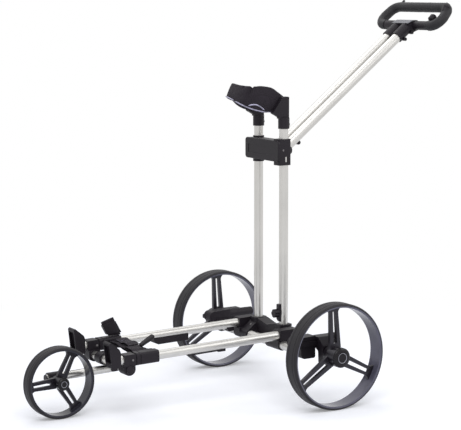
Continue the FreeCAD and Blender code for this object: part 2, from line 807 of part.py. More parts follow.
def toggle():
    """A rubber stub that rises rearward from the crossing webbing."""
    body = new_part("strap_toggle")
    foot = "(toggle_radius*0.8)"
    in_frame(
        body, x="toggle_x", y="toggle_y",
        z=f"rail_height - toggle_x*sin(rail_tilt) + cross_strap_top + soft_gap + {foot}*sin(toggle_angle)",
        tilt="-toggle_angle",
    )
    turned(
        body, "XZ", "V_Axis",
        outline(
            corner("0", "0"),
            corner(foot, "0"),
            corner("toggle_radius", "toggle_long*0.7"),
            corner("toggle_radius", "toggle_long - toggle_radius*0.4"),
            corner("toggle_radius*0.6", "toggle_long"),
            corner("0", "toggle_long"),
        ),
    )


def under_parts():
    """The box and flat clip under the right rail, and the thin strip under the left one."""
    gap = "rail_radius + fit_gap"
    low = in_rail_frame(new_part("under_box"))
    pad(
        low, "XZ", "-rail_half - box_half_width", "-rail_half + box_half_width",
        outline(
            corner("box_back", "-rail_radius - box_depth", "2"),
            corner("box_front - box_depth", "-rail_radius - box_depth", "2"),
            corner("box_front", "-rail_radius - box_depth/2"),
            corner("box_front", "-rail_radius/2"),
            corner("box_back", "-rail_radius/2"),
        ),
    )
    pocket(low, "YZ", "box_back - past", "box_front + past", circle("-rail_half", "0", gap))
    clip = in_rail_frame(new_part("under_clip"))
    pad(
        clip, "XZ", "-rail_half - box_half_width*0.8", "-rail_half + box_half_width*0.8",
        outline(
            corner("clip_back", "-rail_radius - clip_depth", "3"),
            corner("clip_front - clip_depth", "-rail_radius - clip_depth", "2"),
            corner("clip_front", "-rail_radius/2"),
            corner("clip_back", "-rail_radius/2"),
        ),
    )
    pocket(clip, "YZ", "clip_back - past", "clip_front + past", circle("-rail_half", "0", gap))
    strip = in_rail_frame(new_part("under_strip"))
    pad(
        strip, "XZ", "rail_half - box_half_width/2", "rail_half + box_half_width/2",
        outline(
            corner("strip_back", "-rail_radius - strip_lug", "2"),
            corner("strip_back + strip_lug_long", "-rail_radius - strip_lug", "2"),
            corner("strip_back + strip_lug_long + strip_depth", "-rail_radius - strip_depth"),
            corner("strip_front", "-rail_radius - strip_depth"),
            corner("strip_front", "-rail_radius*0.8"),
            corner("strip_back", "-rail_radius*0.8"),
        ),
    )
    pocket(strip, "YZ", "strip_back - past", "strip_front + past", circle("rail_half", "0", gap))


# ---------------------------------------------------------------- outriggers and legs
def housing(side, sign):
    """The fixed housing on the cross tube's end: a round-nosed body with a ledge, over a socket block."""
    body = in_frame(new_part("outrigger_" + side))
    pad(
        body, "XZ", *span(sign, "socket_inner", "socket_outer"),
        outline(
            corner("housing_back", "socket_low", "6"),
            corner("socket_front", "socket_low", "12"),
            corner("socket_front + 4", "housing_low + 6"),
            corner("housing_back", "housing_low + 6"),
        ),
    )
    pad(
        body, "XZ", *span(sign, "housing_inner", "housing_outer"),
        outline(
            corner("housing_back", "housing_low"),
            corner("housing_front - 6", "housing_low", "9"),
            corner("housing_front", "housing_top - 4", "15"),
            corner("housing_back", "housing_top", "3"),
        ),
    )
    pad(
        body, "XZ", *span(sign, "housing_outer - ledge_out", "housing_outer + ledge_out"),
        box("housing_back", "housing_front - 3", "ledge_low", "ledge_high", "3"),
    )
    pocket(
        body, "XZ", *span(sign, "socket_inner - past", "rear_cross_half + fit_gap"),
        circle("cross_axis_x", "cross_axis_z", "rear_cross_radius + fit_gap"),
    )
    pin = circle(f"{sign}*fold_y", "fold_height", "fold_pin_radius")
    pad(body, "YZ", "leg_back + fold_pin_inset", "housing_back + past", pin)


def leg(side, sign):
    """The folding leg: a barrel on the fold pin, and a plate outboard of it for the wheel's axle."""
    body = in_frame(new_part("leg_" + side))
    edge = "housing_back - leg_gap"
    pad(body, "YZ", "leg_back", edge, circle(f"{sign}*fold_y", "fold_height", "leg_radius"))
    bevel(body, "leg_bevel", lambda item: abs(item.BoundBox.XMax - value("leg_back")) < 0.01)
    pad(
        body, "YZ", "leg_plate_back", edge,
        outline(
            corner(f"{sign}*(fold_y + 4)", "fold_height + leg_radius"),
            corner(f"{sign}*leg_plate_inner", "fold_height + leg_radius", "8"),
            corner(f"{sign}*leg_plate_outer", "fold_height - leg_radius*0.6", "8"),
            corner(f"{sign}*leg_plate_outer", "leg_low", "5"),
            corner(f"{sign}*(leg_plate_inner + 2)", "leg_low", "5"),
            corner(f"{sign}*leg_plate_inner", "fold_height - leg_radius*2", "6"),
            corner(f"{sign}*(fold_y + 4)", "fold_height - leg_radius"),
        ),
    )
    pad(
        body, "XZ", *span(sign, "fold_y + leg_radius - 2", "housing_outer + ledge_out"),
        box("leg_back + 8", edge, "ledge_low", "ledge_high", "3"),
    )
    pin = circle(f"{sign}*fold_y", "fold_height", "fold_pin_radius + running_gap")
    pocket(body, "YZ", "leg_back + fold_pin_inset - side_gap", "housing_back + past", pin)
    pocket(
        body, "XZ", *span(sign, "leg_plate_inner + 3", "leg_plate_outer + past"),
        circle("0", "rear_tyre_radius", "rear_axle_radius + fit_gap"),
    )
    latch = span(sign, "leg_plate_outer - latch_proud*2.5", "leg_plate_outer + past")
    pocket(body, "XZ", *latch, circle("latch_x", "latch_height", "latch_radius + running_gap*2"))


def axle_pin(side, sign):
    body = in_frame(new_part("axle_pin_" + side))
    end = "track_half + rear_hub_outer - axle_short"
    pad(
        body, "XZ", *span(sign, "leg_plate_inner + 3.2", end),
        circle("0", "rear_tyre_radius", "rear_axle_radius"),
    )


def latch_button(side, sign):
    body = in_frame(new_part("latch_button_" + side))
    start = "leg_plate_outer - latch_proud*1.2"
    pad(
        body, "XZ", *span(sign, start, "leg_plate_outer + latch_proud*0.4"),
        circle("latch_x", "latch_height", "latch_radius"),
    )


# ---------------------------------------------------------------- wheels
def wheel(kind, name, sign):
    """Tyre, spoked rim and hub cap, turned about Y at the wheel's middle. The cap is on the outer side."""
    place = {
        "rear": dict(x="0", y=f"{sign}*track_half", z="rear_tyre_radius"),
        "front": dict(x="front_wheel_x", y="0", z="front_tyre_radius"),
    }[kind]
    outer = f"{kind}_tyre_radius"
    half = f"({kind}_tyre_width/2)"
    seat = f"({outer} - {kind}_tyre_thick)"
    inside = f"({seat} - {kind}_rim_thick)"
    hub = f"{kind}_hub_radius"
    bore = f"{kind}_axle_radius + running_gap"

    tyre = in_frame(new_part(name + "_tyre"), **place)
    turned(
        tyre, "XY", "V_Axis",
        outline(
            corner(seat, f"-{half} + tyre_lip"),
            corner(f"{outer} - tyre_shoulder", f"-{half}"),
            corner(outer, f"-{half} + tyre_shoulder"),
            corner(outer, f"{half} - tyre_shoulder"),
            corner(f"{outer} - tyre_shoulder", half),
            corner(seat, f"{half} - tyre_lip"),
        ),
    )

    rim = in_frame(new_part(name + "_rim"), **place)
    turned(
        rim, "XY", "V_Axis",
        outline(
            corner(bore, f"-{sign}*{kind}_hub_inner"),
            corner(f"{hub}*0.8", f"-{sign}*{kind}_hub_inner"),
            corner(hub, f"-{sign}*{kind}_spoke_deep/2"),
            corner(hub, f"{sign}*{kind}_hub_outer"),
            corner(bore, f"{sign}*{kind}_hub_outer"),
        ),
    )
    deep = f"({kind}_spoke_deep/2)"
    root = f"({hub}*0.7)"
    flare = f"{kind}_spoke_flare"
    spoke = pad(
        rim, "XZ", f"-{deep}", deep,
        outline(*turned_corners(f"{kind}_spoke_phase", [
            (root, f"-{kind}_spoke_hub"),
            (f"({inside} - {flare})", f"-{kind}_spoke_rim", flare),
            (f"({inside} + past)", f"-({kind}_spoke_rim + {flare})"),
            (f"({inside} + past)", f"{kind}_spoke_rim + {flare}"),
            (f"({inside} - {flare})", f"{kind}_spoke_rim", flare),
            (root, f"{kind}_spoke_hub"),
        ])),
    )
    slot_from = f"({hub} + slot_end*0.6)"
    slot_to = f"({inside} - {flare})"
    slot = pocket(
        rim, "XZ", f"-{deep} - past", f"{deep} + past",
        outline(*turned_corners(f"{kind}_spoke_phase", [
            (slot_from, f"-{kind}_spoke_slot"),
            (slot_to, f"-{kind}_spoke_slot*0.85"),
            (slot_to, f"{kind}_spoke_slot*0.85"),
            (slot_from, f"{kind}_spoke_slot"),
        ])),
    )
    pattern = rim.newObject("PartDesign::PolarPattern", rim.Name + "_spokes")
    pattern.Originals = [spoke, slot]
    pattern.Axis = (spoke.Profile[0], ["N_Axis"])
    pattern.Angle = 360.0
    pattern.Occurrences = 3
    rim.Tip = pattern
    turned(
        rim, "XY", "V_Axis",
        outline(
            corner(inside, f"-{half} + rim_lip"),
            corner(seat, f"-{half} + tyre_lip"),
            corner(seat, f"{half} - tyre_lip"),
            corner(inside, f"{half} - rim_lip"),
        ),
    )

    cap = in_frame(new_part(name + "_hub_cap"), **place)
    face = f"{sign}*({kind}_hub_outer + {kind}_cap_thick)"
    turned(
        cap, "XY", "V_Axis",
        outline(
            corner("0", f"{sign}*{kind}_hub_outer"),
            corner(hub, f"{sign}*{kind}_hub_outer"),
            corner(hub, f"{face} - {sign}*cap_bevel"),
            corner(f"{hub} - cap_bevel", face),
            corner(f"{hub}*0.78", face),
            corner(f"{hub}*0.74", f"{face} - {sign}*cap_dish"),
            corner("0", f"{face} - {sign}*cap_dish"),
        ),
    )


def turned_corners(phase, points):
    """Corners given along and across a spoke, turned to the spoke's own direction."""
    return [
        corner(
            f"{along}*cos({phase}) - ({across})*sin({phase})",
            f"{along}*sin({phase}) + ({across})*cos({phase})",
            *radius,
        )
        for along, across, *radius in points
    ]


# ---------------------------------------------------------------- front arm
def front_arm():
    """The arm tube in its holder under the front cross tube, and the clamp that carries the front axle."""
    middle = ("arm_y", "-arm_drop")
    tube = in_rail_frame(new_part("front_arm_tube"))
    pad(
        tube, "YZ", "arm_start", "arm_end",
        circle(*middle, "arm_radius"), circle(*middle, "arm_radius - cross_wall"),
    )
    pocket(
        tube, "XZ", "arm_y - arm_radius - past", "arm_y + arm_radius + past",
        circle("front_axle_x", "-front_drop", "front_axle_radius + fit_gap"),
    )

    plug = in_rail_frame(new_part("front_arm_plug"))
    pad(plug, "YZ", "arm_end", "arm_end + 2.5", circle(*middle, "arm_radius - 0.4"))
    pad(plug, "YZ", "clamp_front + past", "arm_end", circle(*middle, "arm_radius - cross_wall - fit_gap"))

    holder = in_rail_frame(new_part("front_arm_holder"))
    wide = "(arm_radius + holder_wall)"
    around_cross = "(front_cross_radius + holder_wall)"
    cross = ("front_cross_x", "-front_cross_drop")
    sides = (f"arm_y - {wide}", f"arm_y + {wide}")
    pad(
        holder, "XZ", *sides,
        outline(
            corner("holder_back", f"-arm_drop - {wide} + holder_flat", "5"),
            corner("holder_front", f"-arm_drop - {wide} + holder_flat", "3"),
            corner("holder_front", f"-front_cross_drop - {around_cross}"),
            corner("front_cross_x", f"-front_cross_drop - {around_cross}"),
            corner("front_cross_x", f"-front_cross_drop + {around_cross}"),
            corner("holder_back", f"-front_cross_drop + {around_cross}", "12"),
        ),
    )
    pad(holder, "XZ", *sides, circle(*cross, around_cross))
    pocket(
        holder, "XZ", f"{sides[0]} - past", f"{sides[1]} + past",
        circle(*cross, "front_cross_radius + fit_gap"),
    )
    pocket(
        holder, "YZ", "arm_start - side_gap", "holder_front + 40",
        circle(*middle, "arm_radius + running_gap"),
    )

    clamp = in_rail_frame(new_part("front_wheel_clamp"))
    around = "(arm_radius + clamp_wall)"
    pad(clamp, "YZ", "clamp_back", "clamp_front", circle(*middle, around))
    pad(
        clamp, "YZ", "clamp_back", "clamp_front",
        box(
            "arm_y", "-front_hub_inner - side_gap",
            "-front_drop - clamp_ear", "-front_drop + clamp_ear", "3",
        ),
    )
    pocket(clamp, "YZ", "clamp_back - past", "clamp_front + past", circle(*middle, "arm_radius + fit_gap"))
    pocket(
        clamp, "XZ", f"arm_y - {around} - past", "-front_hub_inner + past",
        circle("front_axle_x", "-front_drop", "front_axle_radius + fit_gap"),
    )

    axle = in_rail_frame(new_part("front_axle"))
    pad(
        axle, "XZ", f"arm_y - {around} - 2", "front_hub_outer - axle_short",
        circle("front_axle_x", "-front_drop", "front_axle_radius"),
    )


# ---------------------------------------------------------------- upright
def yoke():
    """The yoke that folds about the rear cross tube: a web that dips between two sockets, and two eyes."""
    body = in_frame(new_part("upright_yoke"))
    inner = "(upright_half - yoke_half_width)"
    outer = "(upright_half + yoke_half_width)"
    pad(
        body, "YZ", "yoke_back", "yoke_front - 4",
        outline(
            corner("-upright_half", "yoke_web_low"),
            corner("upright_half", "yoke_web_low"),
            corner("upright_half", "yoke_socket_top"),
            corner(f"{inner} - 3", "yoke_flange_top - past"),
            corner("0", "yoke_dip", "30"),
            corner(f"-{inner} + 3", "yoke_flange_top - past"),
            corner("-upright_half", "yoke_socket_top"),
        ),
    )
    eye = "(rear_cross_radius + eye_wall)"
    for sign in (1, -1):
        sides = span(sign, inner, outer)
        pad(body, "XY", "yoke_low", "yoke_socket_top", box("yoke_back", "yoke_front", *sides, "5"))
        flange = span(sign, f"{inner} - yoke_flange_proud", f"{outer} + yoke_flange_proud")
        pad(
            body, "XY", "yoke_socket_top", "yoke_flange_top",
            box("yoke_back - yoke_flange_proud", "yoke_front + yoke_flange_proud", *flange, "6"),
        )
        eye_sides = span(sign, "eye_inner", "lobe_inner - side_gap")
        pad(body, "XZ", *eye_sides, circle("cross_axis_x", "cross_axis_z", eye))
        pad(
            body, "XZ", *eye_sides,
            outline(
                corner("yoke_front - 8", "yoke_low"),
                corner("cross_axis_x", f"cross_axis_z - {eye} + past"),
                corner(f"cross_axis_x + {eye}*0.7", f"cross_axis_z + {eye}*0.7"),
                corner("yoke_front - 4", "yoke_socket_top - 6"),
            ),
        )
    pocket(
        body, "XZ", "-lobe_inner", "lobe_inner",
        circle("cross_axis_x", "cross_axis_z", "rear_cross_radius + running_gap"),
    )
    for sign in (1, -1):
        bore = circle("upright_x", f"{sign}*upright_half", "upright_radius + fit_gap")
        pocket(body, "XY", "upright_start", "yoke_flange_top + past", bore)


def upright(side, sign):
    body = in_frame(new_part("upright_tube_" + side))
    middle = ("upright_x", f"{sign}*upright_half")
    pad(
        body, "XY", "upright_start", "upright_end",
        circle(*middle, "upright_radius"), circle(*middle, "upright_radius - upright_wall"),
    )


def bracket():
    """The middle bracket: a sleeve on each upright, a wall between, two ears for the handle, a cover."""
    body = in_frame(new_part("bracket_body"))
    pad(
        body, "YZ", "bracket_mid_back", "bracket_front",
        box("-bracket_half", "bracket_half", "cover_low", "cover_high", "6"),
    )
    left_sleeve = box(
        "bracket_back", "bracket_front", "upright_half - yoke_half_width", "bracket_half", "5"
    )
    right_sleeve = circle("upright_x", "-upright_half", "upright_radius + bracket_wall")
    for sign, sleeve in ((1, left_sleeve), (-1, right_sleeve)):
        pad(body, "XY", "bracket_low", "bracket_high", sleeve)
        pad(
            body, "XZ", *span(sign, "ear_inner", "ear_outer"),
            outline(
                corner("pivot_x - ear_radius", "pivot_height - ear_radius", "ear_radius*0.95"),
                corner("bracket_mid_back + 2", "pivot_height - ear_radius - 3"),
                corner("bracket_mid_back + 2", "pivot_height + ear_radius + 3"),
                corner("pivot_x - ear_radius", "pivot_height + ear_radius", "ear_radius*0.95"),
            ),
        )
    for sign in (1, -1):
        bore = circle("upright_x", f"{sign}*upright_half", "upright_radius + fit_gap")
        pocket(body, "XY", "bracket_low - past", "bracket_high + past", bore)
    window = box("window_back", "window_front", "cover_low - 2", "window_high", "2")
    pocket(body, "XZ", "upright_half + upright_radius/2", "bracket_half + past", window)
    pocket(
        body, "XZ", "-ear_outer - past", "ear_outer + past",
        circle("pivot_x", "pivot_height", "pivot_radius + fit_gap"),
    )

    cover = in_frame(new_part("bracket_cover"))
    pad(
        cover, "YZ", "bracket_front", "cover_front",
        box("-cover_half", "cover_half", "cover_low", "cover_high", "9"),
    )
    soften(cover, "2", lambda item: item.BoundBox.XMin > value("cover_front") - 0.01)
    label = box("label_from", "label_to", "label_low", "label_high", "1.5")
    pocket(cover, "YZ", "cover_front - label_deep", "cover_front + past", label)


def pivot_pin():
    """The pin that the handle folds on, with a collar between its tubes and one beside each ear."""
    body = in_frame(new_part("handle_pivot_pin"), x="pivot_x", z="pivot_height")
    gap = "(handle_half - handle_radius)"
    far = "(handle_half + handle_radius)"
    collar = "(pivot_radius + 3)"
    turned(
        body, "XY", "V_Axis",
        outline(
            corner("0", "-ear_outer"),
            corner("pivot_radius", "-ear_outer"),
            corner("pivot_radius", "-ear_inner + 0.2"),
            corner(collar, "-ear_inner + 0.2"),
            corner(collar, f"-{far} - 0.4"),
            corner("pivot_radius", f"-{far} - 0.4"),
            corner("pivot_radius", f"-{gap} + 0.4"),
            corner(collar, f"-{gap} + 0.4"),
            corner(collar, f"{gap} - 0.4"),
            corner("pivot_radius", f"{gap} - 0.4"),
            corner("pivot_radius", f"{far} + 0.4"),
            corner(collar, f"{far} + 0.4"),
            corner(collar, "ear_inner - 0.2"),
            corner("pivot_radius", "ear_inner - 0.2"),
            corner("pivot_radius", "ear_outer"),
            corner("0", "ear_outer"),
        ),
    )


def cradle(side, sign):
    """The upper bracket: a sleeve on the upright's end and a plate that rises from it to hold the strap."""
    body = in_frame(new_part("cradle_arm_" + side))
    middle = ("upright_x", f"{sign}*upright_half")
    pad(body, "XY", "cradle_low", "cradle_sleeve_top", circle(*middle, "upright_radius + cradle_wall"))
    pad(
        body, "XZ", *span(sign, "cradle_arm_inner", "cradle_arm_outer"),
        outline(
            corner("arm_plate_back", "cradle_sleeve_top - 2"),
            corner("arm_foot", "cradle_sleeve_top - 2"),
            corner("arm_foot", "arm_foot_height"),
            corner("arm_nose", "arm_nose_height", "3"),
            corner("arm_plate_front", "cradle_arm_top", "5"),
            corner("arm_plate_back", "cradle_arm_top", "3"),
        ),
    )
    pocket(
        body, "XY", "cradle_low - past", "upright_end + 0.3",
        circle(*middle, "upright_radius + fit_gap"),
    )


def cradle_strap():
    """The padded band that bulges forward between the two arm plates, with its ends inside them."""
    body = in_frame(new_part("cradle_strap"))
    outer = "(cradle_arm_inner - soft_gap)"
    inner = f"({outer} - band_thick)"
    side = outline(
        corner("band_back + 0.5", "band_low"),
        corner("arm_nose", "band_low", "20"),
        corner("band_turn", "band_turn_low", "40"),
        corner("band_front", "band_front_low", "4"),
        corner("band_front_top", "band_top", "4"),
        corner("band_shoulder", "band_shoulder_top", "20"),
        corner("arm_plate_front", "cradle_arm_top"),
        corner("band_back + 0.5", "cradle_arm_top"),
    )
    tall = ("band_low - 5", "band_top + 5")
    pad(
        body, "XY", *tall,
        outline(
            corner("band_back", f"-{outer}"),
            corner("band_front", f"-{outer}", "band_round"),
            corner("band_front", outer, "band_round"),
            corner("band_back", outer),
            corner("band_back", inner),
            corner("band_front_top - band_thick", inner, "band_round - band_thick"),
            corner("band_front_top - band_thick", f"-{inner}", "band_round - band_thick"),
            corner("band_back", f"-{inner}"),
        ),
    )
    beyond = box("band_back - 5", "band_front + 5", "band_low - 10", "band_top + 10")
    pocket(body, "XZ", f"-{outer} - past", f"{outer} + past", side, beyond)


def accessory_clamp():
    """A saddle on the front of the left upright, held by a star knob."""
    body = in_frame(new_part("accessory_clamp"))
    sides = ("upright_half - grip_half", "upright_half + grip_half")
    pad(
        body, "XZ", *sides,
        outline(
            corner("grip_back", "grip_low", "2"),
            corner("grip_front", "grip_low", "12"),
            corner("grip_front", "grip_high", "2"),
            corner("grip_back", "grip_high", "2"),
        ),
    )
    pocket(
        body, "XY", "grip_low - past", "grip_high + past",
        circle("upright_x", "upright_half", "upright_radius + fit_gap"),
    )
    stud = circle("upright_half", "knob_height", "knob_stud + running_gap")
    pocket(body, "YZ", "upright_x + upright_radius + past", "grip_front + past", stud)

    knob = in_frame(new_part("clamp_knob"), x="grip_front + side_gap", y="upright_half", z="knob_height")
    pad(knob, "YZ", "-knob_stud_long", "0", circle("0", "0", "knob_stud"))
    pad(knob, "YZ", "0", "knob_long", circle("0", "0", "knob_radius"))
    bevel(knob, "1.5", lambda item: item.BoundBox.XMin > value("knob_long") - 0.01)
    lobe_gap = pocket(
        knob, "YZ", "knob_floor", "knob_long + past",
        circle("knob_radius*1.12", "0", "knob_radius*0.36"),
    )
    pattern = knob.newObject("PartDesign::PolarPattern", knob.Name + "_lobes")
    pattern.Originals = [lobe_gap]
    pattern.Axis = (axis_of(knob, "X"), [""])
    pattern.Angle = 360.0
    pattern.Occurrences = 5
    knob.Tip = pattern


def axis_of(body, name):
    """One of the body's own axes."""
    return [item for item in body.Origin.OriginFeatures if item.Role == name + "_Axis"][0]


# ---------------------------------------------------------------- handle
def handle_tube(side, sign):
    body = in_handle_frame(new_part("handle_tube_" + side))
    middle = (f"{sign}*handle_half", "0")
    pad(body, "YZ", "-handle_end", "handle_over", circle(*middle, "handle_radius"))
    bevel(body, "handle_bevel", lambda item: item.BoundBox.XMin > value("handle_over") - 0.01)
    pocket(
        body, "YZ", "-handle_end - past", "-pivot_radius - 6",
        circle(*middle, "handle_radius - handle_wall"),
    )
    pocket(
        body, "XZ", *span(sign, "handle_half - handle_radius - past", "handle_half + handle_radius + past"),
        circle("0", "0", "pivot_radius + running_gap"),
    )


def handle_head():
    """The moulded head: two sockets that run together into a body that wraps the loop's lower bar."""
    body = in_handle_frame(new_part("handle_head"))
    socket = "(handle_radius + head_wall)"
    slot_rise = "(plate_back_rise - plate_thick - plate_slot)"
    wrap = "(core_radius + head_wrap)"
    pad(
        body, "XZ", "-head_half", "head_half",
        outline(
            corner("-head_start - head_socket_long", f"-{socket}"),
            corner("-head_start - head_socket_long", socket),
            corner("-plate_front", "plate_front_rise - plate_thick - plate_slot"),
            corner("-loop_start", slot_rise),
            corner("-loop_start", f"loop_rise - {wrap}"),
        ),
    )
    pad(body, "XZ", "-head_half", "head_half", circle("-loop_start", "loop_rise", wrap))
    for sign in (1, -1):
        pad(
            body, "YZ", "-head_start - head_socket_long - past", "-head_start",
            circle(f"{sign}*handle_half", "0", socket),
        )
    bosses = [circle(f"-boss_first - {step}*boss_step", "-boss_drop", "boss_radius") for step in (0, 1)]
    pad(body, "XZ", "boss_inner", "boss_outer", *bosses)
    pad(
        body, "XZ", "-plate_half + 4", "plate_half - 4",
        outline(
            corner("-plate_back + 9", f"{slot_rise} - past"),
            corner("-plate_back + 9", "plate_back_rise - plate_thick + 0.5"),
            corner("-plate_back + 3", "plate_back_rise - plate_thick - fit_gap"),
            corner("-plate_back + 3", f"{slot_rise} - past"),
        ),
    )
    for sign in (1, -1):
        bore = circle(f"{sign}*handle_half", "0", "handle_radius + fit_gap")
        pocket(body, "YZ", "-handle_end - fit_gap", "-head_start + past", bore)
    pocket(
        body, "XZ", "-head_half - past", "head_half + past",
        circle("-loop_start", "loop_rise", "core_radius + fit_gap"),
    )

    plate = in_handle_frame(new_part("head_plate"))
    pad(
        plate, "XZ", "-plate_half", "plate_half",
        outline(
            corner("-plate_front", "plate_front_rise"),
            corner("-plate_back", "plate_back_rise"),
            corner("-plate_back", "plate_back_rise - plate_thick"),
            corner("-plate_front", "plate_front_rise - plate_thick"),
        ),
    )


def tube_clip():
    """A short bar with a ball at each end, snug under the left handle tube."""
    body = in_frame(new_part("tube_clip"), x="clip_x", z="clip_z", tilt="handle_tilt")
    turned(
        body, "XY", "V_Axis",
        outline(
            corner("0", "-clip_ball"),
            corner("clip_ball*0.7", "-clip_ball"),
            corner("clip_ball", "-clip_ball*0.5"),
            corner("clip_ball", "clip_ball*0.5"),
            corner("clip_neck", "clip_ball"),
            corner("clip_neck", "clip_step - clip_ball"),
            corner("clip_ball", "clip_step - clip_ball*0.5"),
            corner("clip_ball", "clip_step + clip_ball*0.5"),
            corner("clip_ball*0.7", "clip_step + clip_ball"),
            corner("0", "clip_step + clip_ball"),
        ),
    )


def in_loop_frame(body):
    """-x from the loop's lower bar to its upper one, z out of the loop's upper side."""
    return in_frame(body, x="loop_x", y="loop_shift", z="loop_z", tilt="loop_tilt")


def loop_path():
    """The loop's middle line: a trapezoid with round corners."""
    return outline(
        corner("0", "-loop_low_half", "loop_low_round"),
        corner("0", "loop_low_half", "loop_low_round"),
        corner("-loop_length", "loop_high_half", "loop_high_round"),
        corner("-loop_length", "-loop_high_half", "loop_high_round"),
    )


def ring_along(body, kind, radius):
    """Adds or takes away a round section swept along the loop's middle line."""
    path = sketch_on(body, "XY", "0", [loop_path()])
    section = sketch_on(body, "XZ", "0", [circle("0", "0", radius)])
    doc.recompute()
    feature = body.newObject("PartDesign::%sPipe" % kind, body.Name + "_pipe")
    feature.Profile = section
    feature.Spine = (path, ["Edge%d" % (i + 1) for i in range(len(path.Shape.Edges))])
    feature.Mode = "Frenet"
    return feature


def loop():
    """The loop's bare lower bar with its round knob, and the foam that runs on from it round the loop."""
    core = in_loop_frame(new_part("grip_core"))
    pad(core, "XZ", "-core_half", "core_half", circle("0", "0", "core_radius"))
    near = "loop_knob_middle - loop_knob_radius"
    far = "loop_knob_middle + loop_knob_radius"
    stem_at = circle("loop_knob_y", "0", "loop_knob_stem")
    pad(core, "YZ", f"-{near} - past", "-core_radius*0.8", stem_at)
    pad(core, "YZ", f"-({far})", f"-({near})", circle("loop_knob_y", "0", "loop_knob_radius"))
    bevel(core, "loop_knob_radius*0.4", is_knob_rim)

    foam = in_loop_frame(new_part("foam_grip"))
    ring_along(foam, "Additive", "grip_radius")
    pad(foam, "YZ", "-stub_end", "-loop_length", circle("stub_y", "0", "stub_radius"))
    pad(foam, "YZ", "-nub_end", "-loop_length", circle("nub_y", "0", "nub_radius"))
    away = "grip_radius + past"
    pocket(foam, "XY", f"-({away})", away, box(f"-({away})", away, "-foam_start", "foam_start"))
    pocket(
        foam, "XZ", "-core_half - soft_gap", "core_half + soft_gap",
        circle("0", "0", "core_radius + fit_gap"),
    )


def is_knob_rim(item):
    """The two round rims of the loop's knob."""
    spot = item.BoundBox
    return abs(spot.YLength - value("2*loop_knob_radius")) < 0.5 and spot.XLength < 0.01


def build():
    for side, sign in SIDES.items():
        rail(side, sign)
        rail_block("rear", side, sign)
        rail_block("front", side, sign)
        bag_rest(side, sign)
        strap_sleeve(side, sign)
        housing(side, sign)
        leg(side, sign)
        axle_pin(side, sign)
        latch_button(side, sign)
        wheel("rear", side + "_wheel", sign)
        upright(side, sign)
        cradle(side, sign)
        handle_tube(side, sign)
    cross_tube("rear")
    cross_tube("front")
    lower_strap()
    toggle()
    under_parts()
    wheel("front", "front_wheel", 1)
    front_arm()
    yoke()
    bracket()
    pivot_pin()
    cradle_strap()
    accessory_clamp()
    handle_head()
    tube_clip()
    loop()


def check():
    """Stops the build if a feature failed, a body isn't one valid solid, or a cut took nothing."""
    for item in doc.Objects:
        if "Invalid" in item.State or "Error" in item.State:
            raise RuntimeError("%s failed: %s" % (item.Name, item.State))
    for body in PARTS:
        shape = body.Shape
        if shape.isNull() or not shape.isValid() or len(shape.Solids) != 1:
            raise RuntimeError("%s isn't one valid solid" % body.Label)
    for cut in CUTS:
        if cut.BaseFeature is None or cut.Shape.Volume > cut.BaseFeature.Shape.Volume - 1.0:
            raise RuntimeError("%s cuts nothing" % cut.Name)


build()
doc.recompute()
check()
os.makedirs("parts", exist_ok=True)
for body in PARTS:
    body.Shape.exportStep("parts/%s.step" % body.Label)
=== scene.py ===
"""Looks of the three-wheel golf push cart: finishes, tyres, padded cradle strap, webbing and small fasteners.

Metres, in the frame's own axes: +X forward, +Y the cart's left, +Z up.
"""
import bmesh
import bpy
import json
import math
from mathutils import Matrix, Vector, noise
from mathutils.bvhtree import BVHTree


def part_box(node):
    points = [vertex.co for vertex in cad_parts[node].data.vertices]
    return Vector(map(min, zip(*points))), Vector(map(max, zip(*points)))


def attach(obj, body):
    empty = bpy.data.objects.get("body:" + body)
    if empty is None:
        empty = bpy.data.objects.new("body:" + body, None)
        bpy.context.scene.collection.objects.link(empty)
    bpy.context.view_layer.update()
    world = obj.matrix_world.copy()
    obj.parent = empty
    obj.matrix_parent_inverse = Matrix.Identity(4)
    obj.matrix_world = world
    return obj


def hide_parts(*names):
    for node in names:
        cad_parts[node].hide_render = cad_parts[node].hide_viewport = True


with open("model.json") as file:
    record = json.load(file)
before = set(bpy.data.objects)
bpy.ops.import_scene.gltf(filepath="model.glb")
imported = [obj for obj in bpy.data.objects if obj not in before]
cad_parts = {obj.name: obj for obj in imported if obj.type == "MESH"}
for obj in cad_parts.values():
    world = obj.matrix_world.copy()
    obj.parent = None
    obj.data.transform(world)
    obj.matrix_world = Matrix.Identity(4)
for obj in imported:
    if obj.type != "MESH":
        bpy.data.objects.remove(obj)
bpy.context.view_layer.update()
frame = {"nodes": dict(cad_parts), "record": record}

SIDES = {"left": 1, "right": -1}
FOAM_VOXEL = 0.0022
WEBBING_SECTION = (-0.98, -0.9, -0.6, -0.2, 0.2, 0.6, 0.9, 0.98)

# Colours, linear
SILVER = (0.60, 0.59, 0.57)
BLACK = (0.0105, 0.0080, 0.0115)
TYRE_BLACK = (0.0110, 0.0095, 0.0125)
FABRIC_BLACK = (0.0130, 0.0100, 0.0140)
# Painted reflection of the floor, pale and cool, for the inside of the rims' barrels
BARREL_PAINTED_REFLECTION = (0.075, 0.073, 0.100)
FOAM_BLACK = (0.0110, 0.0100, 0.0125)
RING_GREY = (0.34, 0.34, 0.38)
# Pale lavender: on the cradle's hem partly painted sheen, on its two cords painted highlights; halved, the flecks of
# the hook tape
LAVENDER = (0.46, 0.44, 0.58)
PLATE_GREY = (0.15, 0.15, 0.165)
STEEL = (0.66, 0.64, 0.60)
RIVET_GREY = (0.16, 0.15, 0.15)
FLOOR_WHITE = (0.84, 0.85, 0.89)


